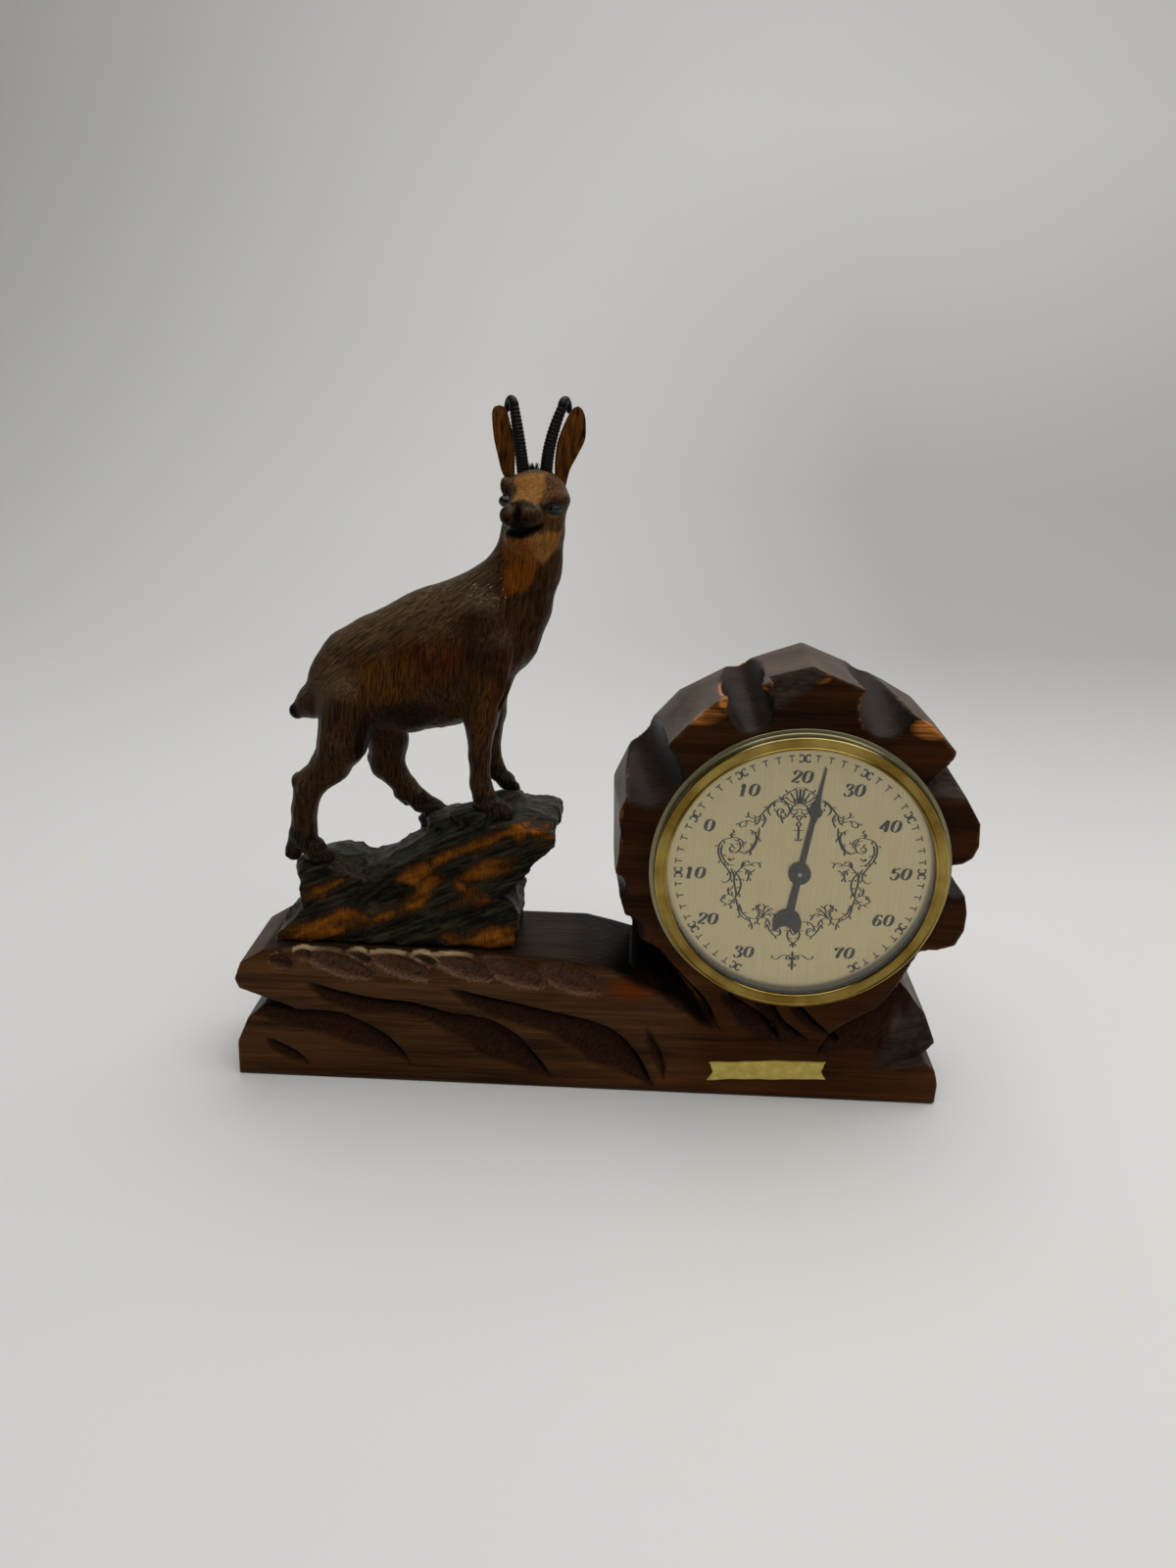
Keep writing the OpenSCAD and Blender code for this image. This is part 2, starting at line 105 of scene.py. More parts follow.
def add(tree, kind, inputs=None, output=0, **settings):
    """Adds a node with its settings and gives one of its outputs. Each input is a value, another node's
    output, a hex colour, or the name of a number kept at each point of the piece."""
    made = tree.nodes.new("ShaderNode" + kind)
    for key, value in settings.items():
        setattr(made, key, value)
    for socket, value in (inputs or {}).items():
        if isinstance(value, str):
            is_colour = value.startswith("#")
            value = colour(value) if is_colour else add(tree, "Attribute", output="Fac", attribute_name=value)
        if isinstance(value, bpy.types.NodeSocket):
            tree.links.new(value, made.inputs[socket])
        else:
            made.inputs[socket].default_value = value
    return made.outputs[output] if made.outputs else None


def new_material(name):
    """An empty material, its node tree and the object coordinates that its patterns read."""
    made = bpy.data.materials.new(name)
    made.use_nodes = True
    tree = made.node_tree
    tree.nodes.clear()
    return made, tree, add(tree, "TexCoord", output="Object")


def surface(tree, base, rough, **more):
    """Ends a tree with a Principled shader: its colour, its roughness, and its other inputs by name."""
    inputs = {name.replace("_", " "): value for name, value in more.items()}
    shader = add(tree, "BsdfPrincipled", {"Base Color": base, "Roughness": rough, **inputs})
    add(tree, "OutputMaterial", {"Surface": shader})


def hair(tree, place, lean, length, width):
    """Fine random streaks that lean at an angle in X and Z: noise squeezed across the lean direction."""
    turned = add(tree, "Mapping", {"Vector": place, "Rotation": (0, np.radians(lean), 0)})
    scale = [1 / (MM * length), 1 / (MM * width), 1 / (MM * width)]
    squeezed = add(tree, "Mapping", {"Vector": turned, "Scale": scale})
    noise = {"Vector": squeezed, "Scale": 1.0, "Detail": 3.0, "Roughness": 0.6}
    return add(tree, "TexNoise", noise)


def layered(tree, base, *layers):
    """Colours laid over one another. Each layer has its share and then its colour, or the streaks that mix
    its two colours."""
    for share, *tones in layers:
        tone = tones[0] if len(tones) == 1 else layered(tree, tones[1], (tones[0], tones[2]))
        base = add(tree, "Mix", {0: share, 6: base, 7: tone}, output=2, data_type="RGBA")
    return base


def sheen(tree, facing, grazing):
    """A specular level for thin varnish: weak where the surface faces the eye, stronger where it is
    seen at a slant."""
    slant = add(tree, "LayerWeight", {"Blend": 0.5}, output="Facing")
    return add(tree, "MapRange", {0: slant, 1: 0.3, 2: 0.7, 3: facing, 4: grazing})


def grid_faces(rows, columns, closed_rows=False, closed_columns=False):
    """Four-cornered faces between neighbouring points of a grid, counted row by row."""
    r = np.arange(rows if closed_rows else rows - 1)[:, None]
    c = np.arange(columns if closed_columns else columns - 1)[None, :]
    r2, c2 = (r + 1) % rows, (c + 1) % columns
    corners = [r * columns + c, r2 * columns + c, r2 * columns + c2, r * columns + c2]
    return np.stack(corners, axis=-1).reshape(-1, 4)


def mesh_piece(name, points, faces, material, smooth=True):
    """A mesh object at the origin from points in millimetres and lists of face corners."""
    mesh = bpy.data.meshes.new(name)
    corners = faces if isinstance(faces, list) else faces.tolist()
    mesh.from_pydata((np.asarray(points, float) * MM).tolist(), [], corners)
    mesh.polygons.foreach_set("use_smooth", np.full(len(mesh.polygons), smooth))
    mesh.materials.append(material)
    mesh.update()
    made = bpy.data.objects.new(name, mesh)
    bpy.context.scene.collection.objects.link(made)
    return made


backdrop_paint, tree, place = new_material("matt_backdrop_paint")
mottle = add(tree, "TexNoise", {"Vector": place, "Scale": 4.0, "Detail": 3.0})
x, y, z = add(tree, "SeparateXYZ", {0: place}).node.outputs
# Painted shade: the floor darker towards the right and the back, fading out up the backdrop
right = add(tree, "MapRange", {0: x, 1: -0.12, 2: 0.2})
behind = add(tree, "MapRange", {0: y, 1: 0.1, 2: 0.5})
low = add(tree, "MapRange", {0: z, 1: 0.08, 2: 0.4, 3: 1, 4: 0})
shaded = add(tree, "Math", {0: right, 1: behind}, operation="MULTIPLY")
shaded = add(tree, "Math", {0: shaded, 1: low}, operation="MULTIPLY")
surface(tree, layered(tree, "#cfcecb", (mottle, FLOOR_PAINT), (shaded, "#adaca9")), 0.65)

turn = np.linspace(0, np.pi / 2, 25)
sweep_y = [FLOOR_FRONT, *(SWEEP_START + SWEEP_RADIUS * np.sin(turn)), SWEEP_START + SWEEP_RADIUS]
sweep_z = [0, *(SWEEP_RADIUS * (1 - np.cos(turn))), BACKDROP_TOP]
across = np.linspace(-FLOOR_HALF_WIDTH, FLOOR_HALF_WIDTH, 9)
points = np.stack(
    [np.tile(across, len(sweep_y)), np.repeat(sweep_y, len(across)), np.repeat(sweep_z, len(across))], axis=1
)
floor = mesh_piece("floor", points, grid_faces(len(sweep_y), len(across))[:, ::-1], backdrop_paint)

for name, (place, target, width, depth, power) in LAMPS.items():
    lamp = bpy.data.lights.new(name, "AREA")
    lamp.shape = "RECTANGLE"
    lamp.size = width * MM
    lamp.size_y = depth * MM
    lamp.energy = power
    holder = bpy.data.objects.new(name, lamp)
    bpy.context.scene.collection.objects.link(holder)
    facing = (Vector(place) - Vector(target)).to_track_quat("Z", "Y").to_matrix().to_4x4()
    holder.matrix_world = Matrix.Translation(Vector(place) * MM) @ facing

world = bpy.data.worlds.new("surround")
world.use_nodes = True
world.node_tree.nodes["Background"].inputs["Color"].default_value = colour("#f4f4f2")
world.node_tree.nodes["Background"].inputs["Strength"].default_value = SURROUND
bpy.context.scene.world = world

# Stand
# One plank of softwood, its grain along the base, sawn to outline and carved with wide gouges.
# The cuts are left crisp, stained dark brown and varnished; the stain is rubbed thin on the arrises.
STAND_STEP = 0.73
ARRIS = 0.9
BASE_TOP = 37.5
dial_low, dial_high = (np.array(corner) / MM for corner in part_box("bezel"))
DIAL_X = (dial_low[0] + dial_high[0]) / 2
DIAL_Z = (dial_low[2] + dial_high[2]) / 2
stand_low, stand_high = (np.array(corner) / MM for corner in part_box("carved_stand"))
FACE_Y = stand_low[1]
BACK_Y = stand_high[1]
SEAT_R = (dial_high[0] - dial_low[0]) / 2 - 1.4
BORE_R = 33.4
BORE_DEPTH = 18

# The plank's outline in X and Z, anticlockwise from the lower left corner
OUTLINE = [
    (-91, 0), (-90.6, 9.5), (-87.5, 16.5), (-83.5, 20), (-75.2, 20.6), (-83, 23.2), (-89, 25.4),
    (-90, 28), (-88.3, 32.6), (-82, 36.5), (-76, 37.5), (-1, 37.5), (6, 35.9), (12, 34.3), (11.2, 45.5),
    (8.4, 55), (6, 61), (5.6, 78), (9.4, 86.5), (13, 91.5), (21.6, 101.2), (33.5, 107.8), (42.5, 111.2),
    (51.3, 114.3), (62.4, 109.9), (71.8, 105.6), (79.5, 101.3), (86.2, 94.6), (84.4, 91.4), (88.6, 85),
    (93.1, 77.8), (93.6, 72), (92.4, 68.9), (89.3, 66.7), (89.4, 62.9), (91.8, 59.1), (92.9, 54.5),
    (92.8, 49.8), (91, 45.6), (86.5, 44), (82.5, 43.6), (80.8, 39.5), (78.4, 34.2), (82.2, 30.4),
    (86.8, 24.4), (90.6, 15.2), (87.2, 12.2), (90.4, 9.4), (91.4, 5.6), (91.2, 0),
]
# Gouge cuts on the face: the stop line in X and Z, then depths and widths at even steps along it
GOUGES = [
    ([(-73.5, 29.6), (-62.2, 26.1), (-51.8, 24.3), (-44.6, 23.8), (-39.8, 22.6), (-34, 21.1),
      (-25.7, 20.1), (-19.4, 17.2), (-15.1, 13.4), (-11, 8.3), (-7.9, 4), (-7.4, 1.4)],
     (0, 2.0, 2.4, 2.1, 2.2, 2.6, 3.3, 3.4, 2.6, 0.3),
     (1, 6, 6.5, 5, 5, 8, 13, 12, 7, 1)),
    ([(-37.2, 27.6), (-33.9, 28.3), (-25.6, 26.4), (-17.3, 24.8), (-9.1, 22.9), (1.5, 20.6), (7.8, 18),
      (13, 13), (16.5, 7.3), (19.6, 0.4)],
     (0, 1.7, 2.1, 2.2, 2.4, 2.7, 3.4, 3.4, 2.4, 0.4),
     (1, 5, 7, 8, 8, 11, 14, 12, 7, 1)),
    ([(-84, 22.8), (-75.2, 20.4), (-64.2, 20.1), (-58.2, 18), (-52.2, 14.7), (-47.1, 9.7), (-43.9, 4.8)],
     (2.2, 2.2, 2.2, 2.4, 2.6, 2.8, 2.4, 0.2),
     (6, 7, 8, 10, 10, 8, 5, 1)),
    ([(-84.5, 12), (-81.6, 11.3), (-75.1, 7.9), (-71.7, 4.7), (-70.1, 2.3)],
     (0, 1.5, 1.8, 1.3, 0),
     (1, 5, 5, 4, 1)),
    ([(15.6, 21.6), (18.7, 15.6), (20.9, 10.9), (21.9, 4.7), (19.9, 0.4)],
     (0, 1.2, 1.5, 1.2, 0),
     (1, 3.5, 4.5, 3, 1)),
    ([(21, 38.9), (26.3, 33.1), (30, 29.3), (33, 24.6), (34.8, 19.5)],
     (4.5, 4.2, 3.8, 2.8, 0.1),
     (9, 9, 9, 7, 1)),
    ([(38.4, 29), (42.1, 26.8), (45.9, 23.9), (49.8, 19.2), (52.2, 15.2)],
     (3.0, 3.4, 3.2, 2.4, 0.1),
     (4.5, 7.5, 7.5, 5, 1)),
    ([(48.1, 28), (50.7, 23.4), (54.6, 20.1), (59, 16.9)], (3.0, 2.8, 2.4, 0.1), (6, 6, 4.6, 1)),
    ([(55.6, 26.8), (59.1, 23.1), (64.3, 18.6)], (2.6, 2.4, 0.3), (4.4, 4, 1)),
    ([(79, 27), (78.1, 23.4), (76.4, 17.1), (75.2, 11.4)], (1.0, 1.5, 1.4, 0.1), (7, 8, 8, 1)),
    ([(58.3, 12), (63, 19.9), (69.6, 25), (74.1, 28), (78.4, 34.6)],
     (0.2, 2.4, 3.4, 4.0, 4.2),
     (1, 8, 12, 13, 13)),
]
# Leaf-shaped scoops along the top front edge: middle in X and Z, half length and half height
SCOOPS = [
    (-77.4, 33.6, 3.2, 2.2), (-71.6, 35.6, 2.6, 2.0), (-62.6, 33.4, 9.6, 3.3), (-57, 35.6, 3.6, 1.6),
    (-46.4, 33.6, 8.8, 3.2), (-40.4, 35.6, 3.6, 1.5), (-30.4, 34.0, 8.6, 3.2), (-17.4, 33.0, 9, 3.8),
    (-3.4, 32.0, 9, 4.0),
]
# Broad rubs on the housing's front corners: middle, then half sizes
RUBS = [
    ((24, -14, 102.4), (11, 4, 4.4)),
    ((79.5, -14, 101.2), (8, 4, 4.2)),
    ((52.4, -14, 112.6), (4, 5, 3.0)),
    ((7.4, -14, 77.5), (2.2, 4, 6.0)),
    ((31.5, -14, 105.2), (2.4, 4, 2.0)),
    ((67, -14, 109), (5, 4, 1.6)),
    ((9.6, -14, 84.6), (2, 4, 2.6)),
]
SCOOP_SLANT = -19
SCOOP_DEPTH = 2.5
# Gouges across the housing's rim: back and front end of the cut's lowest line, the angle it opens
# to, and its radius
RIM_GOUGES = [
    ((13.2, 14, 91.0), (20.8, -14, 83.0), 145, 8.0),
    ((36.0, 14, 108.4), (39.1, -14, 99.0), 110, 5.4),
    ((65.6, 14, 108.4), (66.4, -14, 99.0), 71, 6.4),
    ((89.6, 14, 62.6), (85.2, -14, 63.0), 0, 4.3),
    ((4.2, 0, 59.6), (9.8, -14, 58.6), 185, 3.4),
    ((6.6, 2, 49.4), (13.6, -14, 48.2), 208, 4.2),
    ((4.0, 6, 72), (8.2, -14, 71.4), 176, 6.0),
]
GOUGE_OVERRUN = 0.3
# Flat chips split off the rim: three corners of the flat face, then the walls it stops at, each from one
# point to another with the chip on its right
CHIPS = [
    ((41.8, -14, 103.8), (53.4, -14, 112.6), (41.6, -9, 110.6), ((42.3, 100), (41.9, 120))),
    ((80.6, -14, 84.6), (90.4, -14, 83.6), (86, 2, 91.2), ((80.4, 87.2), (84.6, 93.4))),
    ((77.4, -14, 25.5),
     (75.8, -14, 12),
     (91.5, -9, 16),
     ((75, 9), (77.8, 27)),
     ((78, 41), (95, 41)),
     ((95, 12.8), (75, 9.8))),
]
LEFT_TAPER = 2.0
# Where the wood is painted near black at the housing's foot, as pooled stain and painted shade in the recess,
# in X and Z
SHADED = [
    (2, 50), (12, 48), (14, 38), (22, 31), (29, 26), (33, 20), (30, 21), (24, 27), (13, 31.5), (5, 36.4),
    (-3, 38.2), (-1, 42),
]
# The hollow that sweeps from the base's top down under the dial: the wall at its right, its front edge, and
# how steeply it rises back
HOLLOW_WALL = ((21, 38.9), (34.8, 19.5))
HOLLOW_EDGE_X = (-12, 3.3, 10.7, 18.5, 26.1, 34.8, 45)
HOLLOW_EDGE_Z = (38.4, 36.4, 33.4, 28.8, 23.5, 18.6, 12)
HOLLOW_RISE_X = (-8, 6, 15, 24, 33)
HOLLOW_RISE = (0.02, 0.22, 0.6, 1.1, 2.2)
HOUSING_FOOT_ANGLE = (180, 200, 210, 224, 236, 270)
HOUSING_FOOT_R = (47, 45.5, 41.8, 39.2, 38.6, 38.6)


def ramp(value, start, end):
    """Smooth step from 0 at start to 1 at end."""
    t = np.clip((value - start) / (end - start), 0, 1)
    return t * t * (3 - 2 * t)


def soft_max(a, b, blend):
    """The larger of two values, with the corner between them rounded over the blend distance."""
    h = np.clip(0.5 + 0.5 * (a - b) / blend, 0, 1)
    return b + (a - b) * h + blend * h * (1 - h)


def soft_min(a, b, blend):
    """The smaller of two values, rounded in the same way."""
    return -soft_max(-a, -b, blend)


def outline_distance(x, z, corners):
    """Signed distance to a closed outline, negative inside: the least distance to its edges, with the sign
    changed at each edge that a level line from the point crosses."""
    corners = np.array(corners, float)
    nearest = np.full(np.broadcast(x, z).shape, 1e9)
    sign = np.ones(nearest.shape)
    for a, b in zip(corners, np.roll(corners, -1, axis=0)):
        ex, ez = b - a
        wx, wz = x - a[0], z - a[1]
        t = np.clip((wx * ex + wz * ez) / (ex * ex + ez * ez), 0, 1)
        nearest = np.minimum(nearest, (wx - ex * t) ** 2 + (wz - ez * t) ** 2)
        above, below, left = z >= a[1], z < b[1], ex * wz > ez * wx
        crossed = (above & below & left) | (~above & ~below & ~left)
        sign = np.where(crossed, -sign, sign)
    return sign * np.sqrt(nearest)


def rounded_line(points, count):
    """Evenly spaced points on a smooth curve through the given ones: a cubic
    between each pair (Catmull-Rom)."""
    p = np.array(points, float)
    p = np.vstack([2 * p[0] - p[1], p, 2 * p[-1] - p[-2]])
    t = np.linspace(0, len(p) - 3, 16 * len(p), endpoint=True)
    i = np.minimum(t.astype(int), len(p) - 4)
    f = (t - i)[:, None]
    a, b, c, d = p[i], p[i + 1], p[i + 2], p[i + 3]
    line = b + 0.5 * f * (c - a + f * (2 * a - 5 * b + 4 * c - d + f * (3 * (b - c) + d - a)))
    gone = np.concatenate([[0], np.cumsum(np.linalg.norm(np.diff(line, axis=0), axis=1))])
    want = np.linspace(0, gone[-1], count)
    return np.stack([np.interp(want, gone, line[:, k]) for k in range(line.shape[1])], axis=1)


def along(x, z, line):
    """Share of an open line's length at its nearest point, and the distance to it,
    positive on its right."""
    share = np.zeros(np.broadcast(x, z).shape)
    side = np.full(share.shape, 1e9)
    for k, (a, b) in enumerate(zip(line, line[1:])):
        ex, ez = b - a
        wx, wz = x - a[0], z - a[1]
        t = np.clip((wx * ex + wz * ez) / (ex * ex + ez * ez), 0, 1)
        far = np.hypot(wx - ex * t, wz - ez * t)
        closer = far < np.abs(side)
        side = np.where(closer, np.where(ex * wz > ez * wx, -far, far), side)
        share = np.where(closer, (k + t) / (len(line) - 1), share)
    return share, side


def gouge_cut(x, z, stop_line, depths, widths):
    """Depth of a gouge cut: a steep wall along its stop line, then a slope that runs out over its width."""
    share, side = along(x, z, rounded_line(stop_line, 40))
    deep = np.interp(share, np.linspace(0, 1, len(depths)), depths)
    wide = np.interp(share, np.linspace(0, 1, len(widths)), widths)
    slope = np.clip(1 - side / wide, 0, 1)
    return deep * ramp(side, 0.0, 0.9) * slope**1.15


def stop_sides(x, z):
    """Distances from each stop line, positive on the side that the gouge cuts."""
    return [along(x, z, rounded_line(stop_line, 40))[1] for stop_line, depths, widths in GOUGES[:-2]]


def scoop_cut(x, z, middle_x, middle_z, half_length, half_height):
    """Depth of a leaf-shaped scoop: one less the square of the distance from its
    middle, turned and stretched."""
    c, s = np.cos(np.radians(SCOOP_SLANT)), np.sin(np.radians(SCOOP_SLANT))
    u = ((x - middle_x) * c + (z - middle_z) * s) / half_length
    v = ((z - middle_z) * c - (x - middle_x) * s) / half_height
    return SCOOP_DEPTH * np.maximum(1 - u * u - v * v, 0) ** 0.66


def sampled(values, low, step):
    """A function of X and Z that reads a table of values by straight-line interpolation both ways."""
    def read(x, z):
        u = np.clip((x - low[0]) / step, 0, values.shape[0] - 1.001)
        v = np.clip((z - low[1]) / step, 0, values.shape[1] - 1.001)
        i, j = u.astype(int), v.astype(int)
        f, g = u - i, v - j
        near = values[i, j] * (1 - f) + values[i + 1, j] * f
        far = values[i, j + 1] * (1 - f) + values[i + 1, j + 1] * f
        return near * (1 - g) + far * g
    return read


# The outline and the cuts don't change with depth, so both are worked out once over the face
SHEET_STEP = 0.3
sheet_low = np.array([stand_low[0] - 4, stand_low[2] - 4])
sheet_x = np.arange(sheet_low[0], stand_high[0] + 4, SHEET_STEP)[:, None]
sheet_z = np.arange(sheet_low[1], stand_high[2] + 4, SHEET_STEP)[None, :]
outline_sheet = sampled(outline_distance(sheet_x, sheet_z, OUTLINE), sheet_low, SHEET_STEP)
cuts = np.zeros((sheet_x.size, sheet_z.size))
for stop_line, depths, widths in GOUGES:
    cuts = np.maximum(cuts, gouge_cut(sheet_x, sheet_z, stop_line, depths, widths))
scooped = np.zeros(cuts.shape)
for scoop in SCOOPS:
    scooped = np.maximum(scooped, scoop_cut(sheet_x, sheet_z, *scoop))
cut_sheet = sampled(np.maximum(cuts, scooped), sheet_low, SHEET_STEP)
scooped_sheet = sampled(scooped, sheet_low, SHEET_STEP)


def limb_distance(x, y, z, balls, flatness=1.0, blend=1.2):
    """Nearly the signed distance to a limb: straight links from ball to ball, narrowed in
    Y by the flatness."""
    nearest = None
    for (ax, ay, az, ar), (bx, by, bz, br) in zip(balls, balls[1:]):
        ex, ey, ez = bx - ax, (by - ay) / flatness, bz - az
        px, py, pz = x - ax, (y - ay) / flatness, z - az
        t = np.clip((px * ex + py * ey + pz * ez) / (ex * ex + ey * ey + ez * ez), 0, 1)
        link = np.sqrt((px - ex * t) ** 2 + (py - ey * t) ** 2 + (pz - ez * t) ** 2) - ar - (br - ar) * t
        nearest = link if nearest is None else soft_min(nearest, link, blend)
    return nearest


def value_noise(u, v, w, seed):
    """Smooth random values from -1 to 1: each whole-number point has a hashed value, blended between by
    3t2 - 2t3."""
    iu, iv, iw = np.floor(u), np.floor(v), np.floor(w)
    fu, fv, fw = u - iu, v - iv, w - iw
    fu, fv, fw = (f * f * (3 - 2 * f) for f in (fu, fv, fw))
    iu, iv, iw = (i.astype(np.int64) for i in (iu, iv, iw))
    total = 0.0
    for a in (0, 1):
        for b in (0, 1):
            for c in (0, 1):
                share = (fu if a else 1 - fu) * (fv if b else 1 - fv) * (fw if c else 1 - fw)
                total = total + share * hashed(iu + a, iv + b, iw + c, seed)
    return total


def hashed(i, j, k, seed):
    """A fixed random value from -1 to 1 for whole numbers i, j and k: they are multiplied by odd numbers,
    mixed by exclusive or, and their low bits kept."""
    n = (i * 73856093) ^ (j * 19349663) ^ (k * 83492791) ^ (seed * 2654435761)
    n = ((n ^ (n >> 13)) * 1274126177) & 0x7FFFFFFF
    n = ((n ^ (n >> 15)) * 1103515245) & 0x7FFFFFFF
    return n / 0x3FFFFFFF - 1


def chip_distance(x, y, z, first, second, third, *walls):
    """Nearly the signed distance to a chip: the space outside the plane through three corners and
    right of its walls."""
    corners = np.array([first, second, third], float)
    across = np.cross(corners[1] - corners[0], corners[2] - corners[0])
    across *= -np.sign(across[1]) / np.linalg.norm(across)
    outside = (x - first[0]) * across[0] + (y - first[1]) * across[1] + (z - first[2]) * across[2]
    far = -outside
    for foot, top in walls:
        ex, ez = top[0] - foot[0], top[1] - foot[1]
        far = np.maximum(far, ((z - foot[1]) * ex - (x - foot[0]) * ez) / np.hypot(ex, ez))
    return far


def rim_gouge(x, y, z, back_end, front_end, opens, r):
    """Signed distance to a round gouge cut: a rod of radius r laid a radius above the cut's lowest line."""
    a, b = np.array(back_end, float), np.array(front_end, float)
    a, b = a + (a - b) * GOUGE_OVERRUN, b + (b - a) * GOUGE_OVERRUN
    lift = r * np.array([np.cos(np.radians(opens)), 0, np.sin(np.radians(opens))])
    return limb_distance(x, y, z, [(*(a + lift), r), (*(b + lift), r)])


def stand_field(x, y, z):
    """Below zero inside the stand: the outline carried through the plank, less cuts,
    hollow, scoops and bore."""
    across, up = x - DIAL_X, z - DIAL_Z
    out_r = np.hypot(across, up)
    taper = LEFT_TAPER * ramp(-y, -12, 14) * ramp(z, 56, 68) * ramp(30 - x, 0, 8)
    field = soft_max(outline_sheet(x, z) + taper, FACE_Y + cut_sheet(x, z) - y, ARRIS)
    field = soft_max(field, y - BACK_Y, ARRIS)
    angle = np.degrees(np.arctan2(up, across)) % 360
    foot = np.interp(angle, HOUSING_FOOT_ANGLE, HOUSING_FOOT_R)
    rise = np.interp(x, HOLLOW_RISE_X, HOLLOW_RISE)
    floor_z = np.interp(x, HOLLOW_EDGE_X, HOLLOW_EDGE_Z) + rise * (y - FACE_Y)
    hollow = soft_max((floor_z - z) / np.sqrt(1 + rise * rise), foot - out_r, 2.0)
    (ax, az), (bx, bz) = HOLLOW_WALL
    run, drop = bx - ax, az - bz
    past_wall = ((x - ax) * drop + (z - az) * run) / np.hypot(run, drop) + 0.3 * (y - FACE_Y)
    hollow = np.maximum(hollow, np.maximum(np.maximum(past_wall, -14 - x), up + 8))
    field = soft_max(field, -hollow, ARRIS)
    for gouge in RIM_GOUGES:
        field = soft_max(field, -rim_gouge(x, y, z, *gouge), 0.4)
    torn = 0.25 * value_noise(x / 1.5, y / 1.1, z / 1.1, 71)
    for chip in CHIPS:
        field = soft_max(field, -chip_distance(x, y, z, *chip) - torn, 0.3)
    bore = np.maximum(out_r - BORE_R, y - FACE_Y - BORE_DEPTH)
    bore = np.minimum(bore, np.maximum(out_r - SEAT_R, y - FACE_Y - 1))
    return soft_max(field, -bore, 0.3)


def field_slope(field, points, reach=0.05):
    """Gradient of a field at points, from the difference over a short reach along each axis."""
    steps = np.eye(3) * reach
    return np.stack([(field(*(points + s).T) - field(*(points - s).T)) / (2 * reach) for s in steps], axis=1)


def drawn_to_surface(field, points, rounds=3):
    """Points moved on to the surface where the field is zero, by Newton's steps along its gradient."""
    for _ in range(rounds):
        slope = field_slope(field, points)
        steep = np.maximum((slope**2).sum(axis=1), 0.2)
        move = field(*points.T) / steep
        points = points - slope * np.clip(move, -0.6, 0.6)[:, None]
    return points


def carved_surface(field, low, high, step):
    """Points and four-cornered faces of the surface where a field is zero: the field is worked out
    on a grid, fine only near the surface, quads are drawn through it, and their points are drawn
    on to the surface."""
    low, high = np.array(low, float) - 3 * step, np.array(high, float) + 3 * step
    coarse = 4
    counts = (np.ceil((high - low) / (step * coarse))).astype(int)
    axes = [low[k] + step * coarse * (np.arange(counts[k]) + 0.375) for k in range(3)]
    rough = field(axes[0][:, None, None], axes[1][None, :, None], axes[2][None, None, :])
    rough = np.broadcast_to(rough, tuple(counts))
    values = rough.repeat(coarse, 0).repeat(coarse, 1).repeat(coarse, 2)
    near = np.nonzero(np.abs(values) < 1.9 * step * coarse)
    values = np.clip(values, -3 * step, 3 * step)
    values[near] = field(*(low[k] + step * near[k] for k in range(3)))
    grid = openvdb.FloatGrid(3 * step)
    grid.copyFromArray(np.clip(values, -3 * step, 3 * step).astype(np.float32))
    points, quads = grid.convertToQuads()
    points = drawn_to_surface(field, low + points.astype(float) * step)
    a, b, c = points[quads[:, 0]], points[quads[:, 1]], points[quads[:, 2]]
    if (np.cross(b - a, c - a) * a).sum() < 0:
        quads = quads[:, ::-1]
    return points, quads.astype(int)


def keep(made, **numbers):
    """Keeps named numbers for each point of a piece, for its material to read."""
    for name, values in numbers.items():
        attribute = made.data.attributes.new(name, "FLOAT", "POINT")
        attribute.data.foreach_set("value", np.asarray(values, np.float32))


def spot(points, middle, sizes):
    """1 at the middle of a rounded patch, falling smoothly to 0 at its half sizes."""
    far = np.sqrt((((points - np.array(middle)) / np.array(sizes)) ** 2).sum(axis=1))
    return 1 - ramp(far, 0.35, 1)


def wear_and_hollow(field, points, depth):
    """How far each point stands on a sharp edge, and how far it lies in a hollow, both from 0 to 1: the
    field a short way inside and outside the surface, against what it would be on a flat face."""
    slope = field_slope(field, points)
    normal = slope / np.linalg.norm(slope, axis=1, keepdims=True)
    edge = 1 + field(*(points - normal * depth).T) / depth
    hollow = 1 - field(*(points + normal * depth * 2).T) / (depth * 2)
    return np.clip(edge, 0, 1), np.clip(hollow, 0, 1), normal


def grained(tree, place, stretch, **settings):
    """Noise squeezed to the grain's length, depth and width in millimetres."""
    squeezed = add(tree, "Mapping", {"Vector": place, "Scale": [1 / (MM * s) for s in stretch]})
    return add(tree, "TexNoise", {"Vector": squeezed, "Scale": 1.0, **settings})


# Stained and varnished softwood: red-brown stain that soaks in unevenly along the grain, golden where the
# base's front was wiped, near black below the stop lines and in hollows as pooled stain and painted shade,
# orange where the edges are rubbed, dull on the top and painted darker there as shade, grey where it split
# with a painted sheen, greyer on the housing's rim as dust and painted sheen, lighter on the scoops' upturned
# lips as painted light, and hatched with the gouge's chatter in the cuts
stand_wood, tree, place = new_material("stained_varnished_softwood")
bands = grained(tree, place, (70, 9, 4.5), Detail=3.0, Distortion=0.6)
fibres = grained(tree, place, (14, 0.9, 0.45), Detail=2.0)
patches = grained(tree, place, (30, 30, 14), Detail=2.0)
chatter = hair(tree, place, 52, 2.6, 0.4)
streaks = add(tree, "Math", {0: bands, 1: 0.62}, operation="MULTIPLY")
streaks = add(tree, "Math", {0: fibres, 1: 0.38, 2: streaks}, operation="MULTIPLY_ADD")
lit = add(tree, "MapRange", {0: streaks, 1: 0.36, 2: 0.66})
hatched = add(tree, "MapRange", {0: chatter, 1: 0.35, 2: 0.65})
